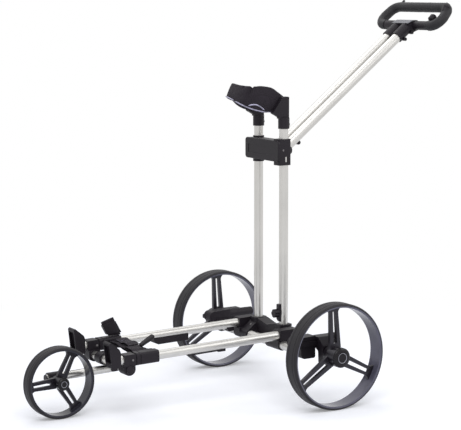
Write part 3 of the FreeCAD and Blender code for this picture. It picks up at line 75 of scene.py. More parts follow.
# ---------------------------------------------------------------- node helpers
class Shader:
    """A material's node tree, with one line for each node."""

    def __init__(self, name):
        self.material = bpy.data.materials.new(name)
        self.material.use_nodes = True
        self.tree = self.material.node_tree
        self.surface = self.tree.nodes["Principled BSDF"]
        self.place = self.add("ShaderNodeTexCoord").outputs["Object"]

    def add(self, kind, inputs=None, **settings):
        node = self.tree.nodes.new(kind)
        for key, setting in settings.items():
            setattr(node, key, setting)
        for key, entry in (inputs or {}).items():
            if isinstance(entry, bpy.types.NodeSocket):
                self.tree.links.new(entry, node.inputs[key])
            else:
                node.inputs[key].default_value = entry
        return node

    def set(self, **sockets):
        for key, entry in sockets.items():
            socket = self.surface.inputs[key.replace("_", " ")]
            if isinstance(entry, bpy.types.NodeSocket):
                self.tree.links.new(entry, socket)
            else:
                socket.default_value = entry

    def stretched(self, scale):
        """Object coordinates, scaled along each axis."""
        return self.add("ShaderNodeMapping", {"Vector": self.place, "Scale": scale}).outputs["Vector"]

    def noise(self, scale, detail=2.0, stretch=None):
        place = self.stretched(stretch) if stretch else self.place
        return self.add("ShaderNodeTexNoise", {"Vector": place, "Scale": scale, "Detail": detail}).outputs["Fac"]

    def ramp(self, factor, low, high, start=0.0, end=1.0):
        """A colour that runs from low to high as the factor goes from start to end."""
        node = self.add("ShaderNodeValToRGB", {"Fac": factor})
        node.color_ramp.elements[0].position = start
        node.color_ramp.elements[0].color = (*low, 1)
        node.color_ramp.elements[1].position = end
        node.color_ramp.elements[1].color = (*high, 1)
        return node.outputs["Color"]

    def span(self, factor, low, high):
        """A number that runs from low to high with the factor."""
        return self.add("ShaderNodeMapRange", {"Value": factor, "To Min": low, "To Max": high}).outputs["Result"]

    def bump(self, height, distance, strength=1.0, edge=None):
        """Relief on the surface, over edges that look rounded to the given radius."""
        inputs = {"Height": height, "Distance": distance, "Strength": strength}
        if edge:
            inputs["Normal"] = self.add("ShaderNodeBevel", {"Radius": edge}, samples=6).outputs["Normal"]
        self.set(Normal=self.add("ShaderNodeBump", inputs).outputs["Normal"])


def shade(colour, factor):
    """A colour made lighter or darker."""
    return tuple(channel * factor for channel in colour)


# ---------------------------------------------------------------- materials
def aluminium(along):
    """Satin drawn tube: fine lines along its own direction and a faint cloudiness."""
    shader = Shader("satin_aluminium")
    turn = along.rotation_difference(Vector((1, 0, 0))).to_euler()
    level = shader.add("ShaderNodeMapping", {"Vector": shader.place, "Rotation": turn}).outputs["Vector"]
    long_lines = shader.add("ShaderNodeMapping", {"Vector": level, "Scale": (0.01, 1.0, 1.0)}).outputs["Vector"]
    lines = shader.add("ShaderNodeTexNoise", {"Vector": long_lines, "Scale": 320.0, "Detail": 1.0}).outputs["Fac"]
    cloud = shader.noise(14.0, 3.0)
    shader.set(
        Base_Color=shader.ramp(cloud, shade(SILVER, 0.93), SILVER, 0.3, 0.7),
        Metallic=1.0,
        Roughness=shader.span(lines, 0.32, 0.35),
    )
    return shader.material


def moulded(name, colour, roughness, grain=1500.0, edge=0.0008):
    """Moulded black plastic with a fine spark grain and slightly paler, handled patches."""
    shader = Shader(name)
    patches = shader.noise(22.0, 4.0)
    spark = shader.noise(grain, 2.0)
    shader.set(
        Base_Color=shader.ramp(patches, shade(colour, 0.85), shade(colour, 1.25), 0.3, 0.75),
        Roughness=shader.span(patches, roughness - 0.06, roughness + 0.08),
        Specular_IOR_Level=0.24,
    )
    shader.bump(spark, 0.00006, 0.5, edge=edge)
    return shader.material


def rim_plastic(node):
    """A wheel's plastic: near black on its spokes and hub, with a pale, cool painted reflection on the broad inside of
    its barrel, much weaker on the front wheel.
    """
    shader = Shader("rim_plastic")
    low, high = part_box(node)
    middle = (low + high) / 2
    from_axis = shader.add(
        "ShaderNodeVectorMath", {0: shader.place, 1: middle}, operation="SUBTRACT"
    ).outputs["Vector"]
    in_plane = shader.add("ShaderNodeVectorMath", {0: from_axis, 1: (1, 0, 1)}, operation="MULTIPLY").outputs["Vector"]
    radius = shader.add("ShaderNodeVectorMath", {0: in_plane}, operation="LENGTH").outputs["Value"]
    outer = (high.z - low.z) / 2
    barrel = shader.add(
        "ShaderNodeMapRange", {"Value": radius, "From Min": outer - 0.0075, "From Max": outer - 0.0050}
    ).outputs["Result"]
    patches = shader.noise(16.0, 4.0)
    moulded_black = shader.ramp(patches, shade(BLACK, 0.55), shade(BLACK, 0.95), 0.3, 0.75)
    # Painted reflection on the barrel: strong on the rear wheels, weak on the front
    pale = 0.35 if node.startswith("front") else 1.35
    painted_reflection = shader.ramp(patches, shade(BARREL_PAINTED_REFLECTION, 0.75 * pale), shade(BARREL_PAINTED_REFLECTION, 1.15 * pale), 0.3, 0.75)
    colour = shader.add("ShaderNodeMix", {"Factor": barrel, "A": moulded_black, "B": painted_reflection}, data_type="RGBA")
    shader.set(
        Base_Color=colour.outputs["Result"],
        Roughness=shader.span(barrel, 0.33, 0.20),
        Specular_IOR_Level=0.3 if node.startswith("front") else 0.5,
        Specular_Tint=(0.88, 0.88, 1.0, 1),
    )
    shader.bump(shader.noise(900.0, 2.0), 0.00003, 0.4, edge=0.0010)
    return shader.material


def hook_tape():
    """Hook-and-loop tape: dark pile with pale flecks of worn hooks."""
    shader = Shader("hook_tape")
    flecks = shader.noise(260.0, 3.0)
    shader.set(
        Base_Color=shader.ramp(flecks, shade(FABRIC_BLACK, 1.1), shade(LAVENDER, 0.5), 0.62, 0.74),
        Roughness=0.8,
        Specular_IOR_Level=0.3,
    )
    shader.bump(flecks, 0.0006, 0.7)
    return shader.material


def rubber(name, colour):
    """Dull rubber with a soft bloom."""
    shader = Shader(name)
    bloom = shader.noise(9.0, 5.0)
    pores = shader.noise(700.0, 3.0)
    shader.set(
        Base_Color=shader.ramp(bloom, shade(colour, 0.85), shade(colour, 1.2), 0.35, 0.7),
        Roughness=shader.span(bloom, 0.50, 0.62),
        Specular_IOR_Level=0.34,
    )
    shader.bump(pores, 0.00012, 0.6, edge=0.0006)
    return shader.material


def foam():
    """Closed-cell foam: matte, with small dark pores."""
    shader = Shader("grip_foam")
    cells = shader.add("ShaderNodeTexVoronoi", {"Vector": shader.place, "Scale": 480.0}).outputs["Distance"]
    cloud = shader.noise(30.0, 4.0)
    shader.set(
        Base_Color=shader.ramp(cloud, shade(FOAM_BLACK, 0.8), shade(FOAM_BLACK, 1.3), 0.3, 0.75),
        Roughness=0.6,
        Specular_IOR_Level=0.35,
        Sheen_Weight=0.03,
        Sheen_Roughness=0.5,
    )
    shader.bump(cells, 0.0005, 0.55)
    return shader.material


def steel():
    """Brushed steel, with its fine lines running one way."""
    shader = Shader("brushed_steel")
    lines = shader.noise(1200.0, 2.0, stretch=(1.0, 0.1, 1.0))
    shader.set(Base_Color=(*STEEL, 1), Metallic=1.0, Roughness=shader.span(lines, 0.22, 0.38))
    shader.bump(lines, 0.00003, 0.5, edge=0.0004)
    return shader.material


def woven(name, colour, pitch, slope):
    """Plain weave: two sets of threads at right angles, turned by a slope, with loose fuzz between them."""
    shader = Shader(name)
    turned = shader.add(
        "ShaderNodeMapping", {"Vector": shader.place, "Rotation": (slope, 0.35, slope)}
    ).outputs["Vector"]
    threads = [
        shader.add(
            "ShaderNodeTexWave", {"Vector": turned, "Scale": 1 / pitch, "Distortion": 0.6, "Detail": 1.0},
            bands_direction=direction,
        ).outputs["Fac"]
        for direction in ("Y", "Z")
    ]
    weave = shader.add("ShaderNodeMath", {0: threads[0], 1: threads[1]}, operation="MAXIMUM").outputs[0]
    cloud = shader.noise(26.0, 4.0)
    dark = shader.ramp(cloud, shade(colour, 0.8), shade(colour, 1.3), 0.3, 0.75)
    thread = shader.add("ShaderNodeMix", {"Factor": weave, "A": dark, "B": (*shade(colour, 1.5), 1)}, data_type="RGBA")
    shader.set(
        Base_Color=thread.outputs["Result"],
        Roughness=0.8,
        Specular_IOR_Level=0.25,
        Sheen_Weight=0.04,
        Sheen_Roughness=0.4,
    )
    shader.bump(weave, 0.0004, 0.6)
    return shader.material


def satin(name, colour):
    """A pale rolled edge with a thread's sheen, darker where it is handled; its pale lavender is partly painted sheen,
    and on the cradle's two cords painted highlights.
    """
    shader = Shader(name)
    cloud = shader.noise(60.0, 4.0)
    shader.set(
        # Pale colour: partly painted sheen on the hem, painted highlights on the two cords
        Base_Color=shader.ramp(cloud, shade(colour, 0.45), colour, 0.35, 0.6),
        Roughness=0.45,
        Sheen_Weight=0.3,
    )
    shader.bump(shader.noise(1400.0, 2.0), 0.0001, 0.5)
    return shader.material


# ---------------------------------------------------------------- mesh helpers
def piece(name, mesh_maker, material, body, smooth=40):
    """An object from a bmesh, with its finish and the body it rides on."""
    bm = bmesh.new()
    mesh_maker(bm)
    bmesh.ops.recalc_face_normals(bm, faces=bm.faces)
    mesh = bpy.data.meshes.new(name)
    bm.to_mesh(mesh)
    bm.free()
    for polygon in mesh.polygons:
        polygon.use_smooth = True
    obj = bpy.data.objects.new(name, mesh)
    bpy.context.scene.collection.objects.link(obj)
    obj.data.materials.append(material)
    if smooth:
        mesh.set_sharp_from_angle(angle=math.radians(smooth))
    if body:
        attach(obj, body)
    return obj


def ring_faces(bm, rings, closed_along=False):
    """Joins rings of vertices, one to the next, into quads."""
    pairs = list(zip(rings, rings[1:]))
    if closed_along:
        pairs.append((rings[-1], rings[0]))
    for one, two in pairs:
        count = len(one)
        for i in range(count):
            bm.faces.new((one[i], one[(i + 1) % count], two[(i + 1) % count], two[i]))


def lathe(bm, profile, middle, axis, steps=96, closed=True):
    """Turns a profile of (radius, along) points about an axis through the middle."""
    along = Vector(axis).normalized()
    side = along.orthogonal().normalized()
    other = along.cross(side)
    rings = []
    for step in range(steps):
        angle = 2 * math.pi * step / steps
        out = side * math.cos(angle) + other * math.sin(angle)
        rings.append([bm.verts.new(Vector(middle) + out * r + along * h) for r, h in profile])
    pairs = list(zip(rings, rings[1:] + rings[:1]))
    for one, two in pairs:
        count = len(profile)
        for i in range(count if closed else count - 1):
            bm.faces.new((one[i], one[(i + 1) % count], two[(i + 1) % count], two[i]))
    if not closed:
        bmesh.ops.remove_doubles(bm, verts=bm.verts, dist=1e-6)


def dome(bm, middle, axis, radius, height, steps=24, rim=0.0003):
    """A low round head, such as a rivet's, standing on a face."""
    profile = [(0.0, height)]
    for k in range(1, 7):
        angle = math.pi / 2 * k / 6
        profile.append((radius * math.sin(angle), rim + (height - rim) * math.cos(angle)))
    profile.append((radius, -rim))
    lathe(bm, profile, middle, axis, steps, closed=False)


def mm(*numbers):
    """A point or a step, from millimetres."""
    return Vector(number / 1000 for number in numbers)


def surface_at(node, start, direction):
    """Where a line first meets a CAD node, and the way that the surface faces there."""
    mesh = frame["nodes"][node].data
    tree = BVHTree.FromPolygons([v.co for v in mesh.vertices], [p.vertices for p in mesh.polygons])
    place, normal, _, _ = tree.ray_cast(start, Vector(direction).normalized())
    if place is None:
        raise ValueError(f"nothing of {node} lies that way")
    return place, normal if normal.dot(Vector(direction)) < 0 else -normal


def smooth_line(points, steps):
    """Points along a curve that passes through the given ones (Catmull-Rom)."""
    ends = [points[0] * 2 - points[1], *points, points[-1] * 2 - points[-2]]
    line = []
    for i in range(len(points) - 1):
        a, b, c, d = ends[i:i + 4]
        for step in range(steps):
            t = step / steps
            line.append(
                0.5 * (2 * b + (c - a) * t + (2 * a - 5 * b + 4 * c - d) * t ** 2 + (3 * b - a - 3 * c + d) * t ** 3)
            )
    return [*line, points[-1]]


def cap(bm, ring):
    """Closes a ring of vertices with a fan about its middle."""
    hub = bm.verts.new(sum((v.co for v in ring), Vector()) / len(ring))
    for i, v in enumerate(ring):
        bm.faces.new((v, ring[(i + 1) % len(ring)], hub))


def cord_round(bm, line, radius, steps=10):
    """A round piping along a line, tapering at both ends."""
    rings = []
    for i, point in enumerate(line):
        along = (line[min(i + 1, len(line) - 1)] - line[max(i - 1, 0)]).normalized()
        side = along.cross(Vector((0, 0, 1))).normalized()
        up = side.cross(along)
        place = i / (len(line) - 1)
        thick = radius * min(1.0, 0.35 + 9 * min(place, 1 - place))
        turns = [2 * math.pi * k / steps for k in range(steps)]
        rings.append([bm.verts.new(point + thick * (side * math.cos(a) + up * math.sin(a))) for a in turns])
    ring_faces(bm, rings)
    cap(bm, rings[0])
    cap(bm, rings[-1])


def ribbon(bm, line, across, widths, thick):
    """Flat webbing along a line: two faces and rounded edges. Across is its width's direction at each point."""
    rings = []
    for i, point in enumerate(line):
        along = (line[min(i + 1, len(line) - 1)] - line[max(i - 1, 0)]).normalized()
        wide = across[i] if isinstance(across, list) else across
        up = along.cross(wide).normalized()
        half = widths[i] / 2 if isinstance(widths, list) else widths / 2
        ring = []
        for fraction in WEBBING_SECTION:
            ring.append(point + wide * half * fraction + up * thick / 2 * (1 - abs(fraction) ** 8))
        for fraction in reversed(WEBBING_SECTION):
            ring.append(point + wide * half * fraction - up * thick / 2 * (1 - abs(fraction) ** 8))
        rings.append([bm.verts.new(co) for co in ring])
    ring_faces(bm, rings)
    cap(bm, rings[0])
    cap(bm, rings[-1])


def long_way(mesh):
    """The direction in which a mesh is longest, from its two points furthest apart along its box's longest side."""
    spots = [v.co for v in mesh.vertices]
    reach = [max(c[i] for c in spots) - min(c[i] for c in spots) for i in range(3)]
    side = reach.index(max(reach))
    band = 0.02 * reach[side]
    low = min(c[side] for c in spots)
    high = max(c[side] for c in spots)
    first = [c for c in spots if c[side] < low + band]
    last = [c for c in spots if c[side] > high - band]
    return (sum(last, Vector()) / len(last) - sum(first, Vector()) / len(first)).normalized()


# ---------------------------------------------------------------- finishes of the CAD nodes
def finishes():
    """One material for each slot, and the nodes that wear it."""
    made = {
        "black_plastic": moulded("moulded_plastic", BLACK, 0.46),
        "tyre": rubber("tyre_rubber", TYRE_BLACK),
        "steel": steel(),
        "foam": foam(),
        "strap_fabric": woven("strap_weave", FABRIC_BLACK, 0.0016, 0.0),
        "plate": moulded("plate_plastic", PLATE_GREY, 0.35),
        "rubber": rubber("soft_rubber", BLACK),
        "webbing": woven("webbing_weave", FABRIC_BLACK, 0.0011, 0.5),
        "hooks": hook_tape(),
        "rivet": moulded("rivet_metal", RIVET_GREY, 0.32, edge=0.0004),
        "cap": moulded("cap_plastic", shade(BLACK, 0.6), 0.24),
        "hem": satin("hem_piping_and_painted_highlights", LAVENDER),
        "ring": moulded("ring_plastic", RING_GREY, 0.30),
    }
    for row in frame["record"]["subparts"]:
        node = row["node"]
        kind = row["material_slot"]
        mesh = frame["nodes"][node].data
        mesh.materials.clear()
        if kind == "tube":
            mesh.materials.append(aluminium(long_way(mesh)))
        elif node.endswith("_rim"):
            mesh.materials.append(rim_plastic(node))
        else:
            mesh.materials.append(made[kind])
    return made


# ---------------------------------------------------------------- tyres
def tyre_profile(node):
    """A tyre's section as (radius, along) points: round shoulders, a flat tread and two shallow grooves."""
    low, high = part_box(node)
    middle = (low + high) / 2
    outer = (high.z - low.z) / 2
    half = (high.y - low.y) / 2
    thick = 0.0055
    shoulder = 0.0075
    groove = 0.0011
    points = [(outer - thick, -half + 0.0008)]
    for k in range(7):
        angle = math.pi / 2 * k / 6
        points.append((outer - shoulder * 0.8 * (1 - math.sin(angle)), -half + shoulder * (1 - math.cos(angle))))
    for centre in (-half * 0.42, half * 0.42):
        for step, depth in ((-0.0012, 0.0), (-0.0007, groove), (0.0007, groove), (0.0012, 0.0)):
            points.append((outer - depth, centre + step))
    for k in range(7):
        angle = math.pi / 2 * k / 6
        points.append((outer - shoulder * 0.8 * (1 - math.cos(angle)), half - shoulder * (1 - math.sin(angle))))
    points.append((outer - thick, half - 0.0008))
    return points, middle


def tyres(made):
    """The tyres' visible rubber, in place of their CAD solids."""
    for node in ("left_wheel_tyre", "right_wheel_tyre", "front_wheel_tyre"):
        points, middle = tyre_profile(node)
        body = node.replace("_tyre", "")
        tyre = piece(
            node + "_rubber", lambda bm: lathe(bm, points, middle, (0, 1, 0), 160), made["tyre"], body, 50
        )
        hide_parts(node)


# ---------------------------------------------------------------- hub caps
def hub_caps(made):
    """Domed caps with a round, bare recess inside a paler ring."""
    for body, sign in (("left_wheel", 1), ("right_wheel", -1), ("front_wheel", 1)):
        low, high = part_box(body + "_hub_cap")
        middle = (low + high) / 2
        radius = (high.z - low.z) / 2
        inner = radius * 0.52
        half = (high.y - low.y) / 2
        top = half - 0.0003
        profile = [
            (0.0, top - 0.0016), (inner * 0.7, top - 0.0015), (inner, top - 0.0013), (inner + 0.0002, top - 0.0001),
        ]
        for k in range(1, 8):
            angle = math.pi / 2 * k / 7
            profile.append((
                inner + (radius - inner) * math.sin(angle), top - (2 * half * 0.72) * (1 - math.cos(angle)) ** 0.9,
            ))
        profile += [(radius, -half), (0.0, -half)]
        cap_piece = piece(
            body + "_cap", lambda bm: lathe(bm, profile, middle, (0, sign, 0), 72, closed=False),
            made["cap"], body, 35,
        )
        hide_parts(body + "_hub_cap")
        band = [
            (inner - 0.0016, top - 0.0015), (inner - 0.0013, top - 0.0004), (inner - 0.0002, top - 0.0003),
            (inner + 0.0001, top - 0.0015),
        ]
        piece(
            body + "_cap_ring", lambda bm: lathe(bm, band, middle, (0, sign, 0), 72), made["ring"], body, 35
        )


# ---------------------------------------------------------------- padded cradle strap
# Stations of the band from its near end to its far end: the lower edge's point, then the upper edge's
BAND_STATIONS = (
    ((-111, 52.3, 786), (-111, 52.3, 828)),
    ((-92, 52.3, 785.5), (-92, 52.3, 841)),
    ((-70, 52.6, 785.5), (-72, 52.6, 854)),
    ((-50, 52.8, 787.5), (-50, 52.8, 859)),
    ((-28, 52.4, 792), (-33, 52.2, 861)),
    ((-10, 50, 797), (-20, 49.5, 860)),
    ((4, 42, 803), (-10, 41, 860)),
    ((13, 28, 809.5), (-4, 28, 861.5)),
    ((17.5, 13, 815), (-2, 13, 862)),
    ((19, -2, 817), (-1, -2, 863)),
    ((19.5, -18, 819), (-1, -18, 864)),
    ((19, -34, 822), (-2, -34, 864)),
    ((13.5, -47, 824), (-6, -46, 864)),
    ((-2, -52, 818), (-20, -51.5, 862)),
    ((-28, -52.3, 797), (-40, -52.3, 857)),
    ((-60, -52.3, 786), (-66, -52.3, 850)),
    ((-90, -52.3, 785.5), (-92, -52.3, 836)),
    ((-111, -52.3, 786), (-111, -52.3, 828)),
)
BAND_HALF_THICK = 0.0034
BAND_ROUND = 28
BAND_PRESSURE = 4.0
BAND_MOST_SWELL = 0.0024


def band_edges():
    """The lower and upper edge lines of the band, near end to far end."""
    return [smooth_line([mm(*station[row]) for station in BAND_STATIONS], 7) for row in (0, 1)]


def band_frame(edges, i):
    """At one station: the lower point, the way up the band and the way out of it."""
    low, high = edges[0][i], edges[1][i]
    last = len(edges[0]) - 1
    along = (edges[0][min(i + 1, last)] - edges[0][max(i - 1, 0)]).normalized()
    up = high - low
    return low, up, up.cross(along).normalized()


def band_mesh(bm):
    """The band as one closed form: rings of points round its section, with the folds of its padding."""
    edges = band_edges()
    count = len(edges[0])
    rings = []
    for i in range(count):
        low, up, out = band_frame(edges, i)
        place = i / (count - 1)
        ring = []
        for k in range(BAND_ROUND):
            angle = 2 * math.pi * k / BAND_ROUND
            height = 0.5 - 0.5 * math.cos(angle)
            thick = math.copysign(abs(math.sin(angle)) ** 0.55, math.sin(angle))
            slant = place - (0.375 - 0.045 * height)
            fold = -0.0062 * math.exp(-(slant / 0.016) ** 2) * (0.25 + 0.75 * height)
            bulge = 0.0026 * math.exp(-((slant + 0.055) / 0.035) ** 2) * math.sin(math.pi * height)
            ripple = 0.0022 * math.exp(-((slant - 0.040) / 0.018) ** 2) * height
            second = -0.0020 * math.exp(-((place - 0.47 + 0.04 * height) / 0.012) ** 2) * height
            dip = -0.0035 * math.exp(-(slant / 0.014) ** 2) * height ** 4
            reach = BAND_HALF_THICK * thick + fold + bulge + ripple + second
            ring.append(bm.verts.new(low + up * height + out * reach + Vector((0, 0, dip))))
        rings.append(ring)
    ring_faces(bm, rings)
    cap(bm, rings[0])
    cap(bm, rings[-1])


def inflate(obj, pressure, most, frames=20):
    """Fills a closed cloth form with air: no vertex moves further than the most allowed, and ends stay put."""
    before = [v.co.copy() for v in obj.data.vertices]
    held = obj.vertex_groups.new(name="held")
    far_back = min(v.x for v in before)
    held.add([i for i, v in enumerate(before) if v.x < far_back + 0.012], 1.0, "REPLACE")
    cloth = obj.modifiers.new("cloth", "CLOTH")
    settings = cloth.settings
    settings.quality = 6
    settings.mass = 0.25
    settings.tension_stiffness = 12
    settings.compression_stiffness = 8
    settings.bending_stiffness = 1.2
    settings.use_pressure = True
    settings.uniform_pressure_force = pressure
    settings.vertex_group_mass = "held"
    settings.effector_weights.gravity = 0
    cloth.point_cache.frame_start = 1
    cloth.point_cache.frame_end = frames
    for number in range(1, frames + 1):
        bpy.context.scene.frame_set(number)
    posed = obj.evaluated_get(bpy.context.evaluated_depsgraph_get())
    moved = [v.co.copy() for v in posed.data.vertices]
    obj.modifiers.remove(cloth)
    bpy.context.scene.frame_set(1)
    for vertex, start, end in zip(obj.data.vertices, before, moved):
        step = end - start
        vertex.co = start + (step if step.length < most else step * (most / step.length))


def subdivide(obj, levels=1):
    """Applies one smoothing subdivision."""
    obj.modifiers.new("smooth", "SUBSURF").levels = levels
    posed = obj.evaluated_get(bpy.context.evaluated_depsgraph_get())
    mesh = bpy.data.meshes.new_from_object(posed)
    obj.modifiers.clear()
    obj.data = mesh


def cradle_strap(made):
    """The padded band between the cradle arms, with its hem, whose pale colour is partly painted sheen, and two pale
    cords that are painted highlights.
    """
    band = piece("cradle_band", band_mesh, made["strap_fabric"], None, 0)
    inflate(band, BAND_PRESSURE, BAND_MOST_SWELL)
    subdivide(band)
    for vertex in band.data.vertices:
        vertex.co += vertex.normal * 0.0005 * noise.noise(vertex.co * 55)
    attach(band, "upright")
    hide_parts("cradle_strap")

    edges = band_edges()
    count = len(edges[0]) - 1

    def hugging(start, end, rise, swell, proud=0.0040):
        """Points on the band's outer face between two places, with a rise that swells in the middle."""
        points = []
        first, last = round(start * count), round(end * count)
        for i in range(first, last + 1):
            low, up, out = band_frame(edges, i)
            t = (i - first) / (last - first)
            height = rise + swell * math.sin(math.pi * t) ** 0.8
            points.append(low + up.normalized() * height + out * proud * min(1.0, 0.55 + height / 0.012))
        return points

    lines = {
        # The rolled hem and its tail along the lower edge are real; their pale colour is partly painted sheen
        "cradle_hem": (hugging(0.16, 0.50, 0.0002, 0.0, 0.0030), 0.0018),
        # Two pale cords on the band's outer face: painted highlights of its lower bulge
        "cradle_painted_highlight_left": (hugging(0.195, 0.335, 0.0050, 0.0095, 0.0046), 0.0019),
        "cradle_painted_highlight_right": (hugging(0.51, 0.70, 0.0020, 0.0025, 0.0042), 0.0016),
        "cradle_tail": (hugging(0.05, 0.17, 0.0010, 0.0, 0.0034), 0.0009),
    }
    for name, (line, radius) in lines.items():
        piece(name, lambda bm: cord_round(bm, line, radius), made["hem"], "upright", 60)


# ---------------------------------------------------------------- webbing of the lower strap
def lower_strap(made):
    """The standing strap, folded over at its top, and the layers of webbing that cross the cart."""
    low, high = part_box("standing_strap")
    across_y = (low.y + high.y) / 2
    foot = Vector((low.x + 0.020, across_y, low.z + 0.0010))
    lean = Vector((0.454, 0, 0.891))
    straight = 0.0515 - 0.003
    layer = 0.00125
    strap_width, strap_thick = 0.038, 0.0019
    shear, shear_rise = 0.30, 0.046
    path = []
    for k in range(17):
        t = k / 16
        path.append(foot + lean * (t * straight) + Vector((0, layer + 0.0003 * math.sin(t * 9), 0)))
    for k in range(1, 8):
        angle = math.pi * k / 8
        path.append(foot + lean * (straight + 0.0022 * math.sin(angle)) + Vector((0, layer * math.cos(angle), 0)))
    for k in range(17):
        t = 1 - k / 16
        path.append(foot + lean * (t * straight) - Vector((0, layer + 0.0002 * math.sin(t * 7), 0)))
    wide = [Vector((1, 0, -shear * min(1.0, max(0.0, (p.z - foot.z) / shear_rise)))) for p in path]
    strap = piece(
        "webbing_upright", lambda bm: ribbon(bm, path, wide, strap_width, strap_thick), made["webbing"], "chassis",
        50,
    )
    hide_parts("standing_strap")

    low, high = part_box("cross_strap")
    middle = (low + high) / 2
    tilt = Vector((0.9976, 0, -0.0698))
    # Name, height above the middle, width, size of its waves, and where along them it starts
    rows = (
        ("webbing_cross_top", 0.0047, 0.046, 0.0012, 0.0),
        ("webbing_cross_middle", 0.0000, 0.044, 0.0010, 2.1),
        ("webbing_cross_low", -0.0047, 0.040, 0.0010, 4.0),
    )
    for name, rise, width, wave, phase in rows:
        line = []
        for k in range(61):
            y = low.y + (high.y - low.y) * k / 60
            wobble = wave * math.sin(y * 95 + phase) + wave * 0.6 * math.sin(y * 210 + phase * 2)
            drift = -0.004 + 0.0015 * math.sin(y * 40 + phase)
            line.append(Vector((middle.x + drift, y, middle.z + rise + wobble)))
        across = [tilt + Vector((0, 0, 0.10 * math.sin(p.y * 60 + phase))) for p in line]
        strip = piece(
            name, lambda bm: ribbon(bm, line, across, width, 0.0022), made["webbing"], "chassis", 50
        )
        if rise == 0:
            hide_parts("cross_strap")
    tab = []
    for k in range(25):
        t = k / 24
        tab.append(Vector((middle.x - 0.008, -0.080 + 0.085 * t, high.z + 0.0022 + 0.0016 * math.sin(t * 11))))
    piece("webbing_tab", lambda bm: ribbon(bm, tab, tilt, 0.034, 0.0018), made["hooks"], "chassis", 50)


# ---------------------------------------------------------------- foam grip
def foam_sleeve(made):
    """The foam of the loop: its CAD form with soft creases, kept inside it."""
    source = frame["nodes"]["foam_grip"]
    mesh = source.data.copy()
    obj = bpy.data.objects.new("foam_sleeve", mesh)
    bpy.context.scene.collection.objects.link(obj)
    remesh = obj.modifiers.new("even", "REMESH")
    remesh.mode = "VOXEL"
    remesh.voxel_size = FOAM_VOXEL
    smooth = obj.modifiers.new("soft", "SMOOTH")
    smooth.iterations = 4
    smooth.factor = 0.6
    posed = obj.evaluated_get(bpy.context.evaluated_depsgraph_get())
    made_mesh = bpy.data.meshes.new_from_object(posed)
    obj.modifiers.clear()
    obj.data = made_mesh
    obj.data.materials.clear()
    obj.data.materials.append(made["foam"])
    for vertex in made_mesh.vertices:
        soft = noise.noise(vertex.co * 38)
        crease = abs(noise.noise(Vector((vertex.co.x * 40, vertex.co.y * 150, vertex.co.z * 40))))
        vertex.co -= vertex.normal * (0.00035 + 0.0003 * soft + 0.00055 * max(0.0, 0.28 - crease) * 3)
    for polygon in made_mesh.polygons:
        polygon.use_smooth = True
    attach(obj, "handle")
    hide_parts("foam_grip")


# ---------------------------------------------------------------- tube clip
def clip(made):
    """A rubber buffer across the handle's tubes, with two balls side by side at each end."""
    low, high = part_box("tube_clip")
    middle = (low + high) / 2
    reach = (high.y - low.y) / 2
    ball = 0.0058
    inner_ball = 3.1 * ball
    profile = [(0.0, -reach)]
    for middle_at in (-reach + ball, -reach + inner_ball, reach - inner_ball, reach - ball):
        for k in range(1, 8):
            angle = math.pi * k / 8
            profile.append((0.0006 + ball * math.sin(angle), middle_at - ball * math.cos(angle)))
    profile.append((0.0, reach))
    buffer = piece(
        "clip_buffer", lambda bm: lathe(bm, profile, middle, (0, 1, 0), 32, closed=False), made["rubber"],
        "handle", 50,
    )
    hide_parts("tube_clip")


# ---------------------------------------------------------------- end cap of the loop
def loop_cap(made):
    """The round rubber cap that stands out of the loop's upper corner on the left."""
    tall = 0.0118
    inset_from_corner = mm(58, 19, 13.5)
    along = Vector((-0.40, 0.15, 0.90)).normalized()
    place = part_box("foam_grip")[1] - inset_from_corner - along * tall
    profile = [(0.0, tall), (0.0060, 0.0114), (0.0092, 0.0098), (0.0104, 0.0070), (0.0104, 0.0030), (0.0094, 0.0016),
               (0.0106, 0.0004), (0.0106, -0.0120), (0.0, -0.0120)]
    piece("loop_end_cap", lambda bm: lathe(bm, profile, place, along, 40, closed=False), made["rubber"], "handle",
          40)


# ---------------------------------------------------------------- fasteners and plugs
def fasteners(made):
    """Rivet heads, a bump on each cradle arm, and a plug at each end of the front cross tube."""
    for side, sign in SIDES.items():
        # Name, CAD node, start in mm of the line that finds its face, the line's direction, radius, height, body
        heads = (
            ("rear_rivet_inner_", "rear_block_" + side, (-104, 0, 170), (0, sign, 0), 0.0028, 0.0012, "chassis"),
            ("front_rivet_inner_", "front_block_" + side, (401, 0, 160), (0, sign, 0), 0.0032, 0.0013, "chassis"),
            ("front_rivet_outer_", "front_block_" + side, (404, sign * 200, 160), (0, -sign, 0), 0.0030, 0.0012,
             "chassis"),
            ("yoke_rivet_", "upright_yoke", (0, sign * 65, 172), (-1, 0, 0), 0.0030, 0.0012, "upright"),
            ("bracket_rivet_", "bracket_body", (-92, sign * 200, 682), (0, -sign, 0), 0.0028, 0.0010, "upright"),
        )
        for name, node, start, direction, radius, height, body in heads:
            place, normal = surface_at(node, mm(*start), direction)
            piece(name + side, lambda bm: dome(bm, place, normal, radius, height), made["rivet"], body, 50)
        place, normal = surface_at("cradle_arm_" + side, mm(-200, sign * 65, 752), (1, 0, 0))
        piece(
            "arm_bump_" + side, lambda bm: dome(bm, place, normal, 0.0050, 0.0030), made["black_plastic"], "upright",
            50,
        )
        low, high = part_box("front_cross_tube")
        centre = (low + high) / 2
        end = Vector((centre.x, sign * (high.y + 0.0002), centre.z))
        plug = [(0.0, 0.0058), (0.0085, 0.0056), (0.0102, 0.0050), (0.0112, 0.0036), (0.0112, 0.0)]
        piece(
            "cross_plug_" + side, lambda bm: lathe(bm, [*plug, (0.0, 0.0)], end, (0, sign, 0), 40, closed=False),
            made["black_plastic"], "chassis", 50,
        )


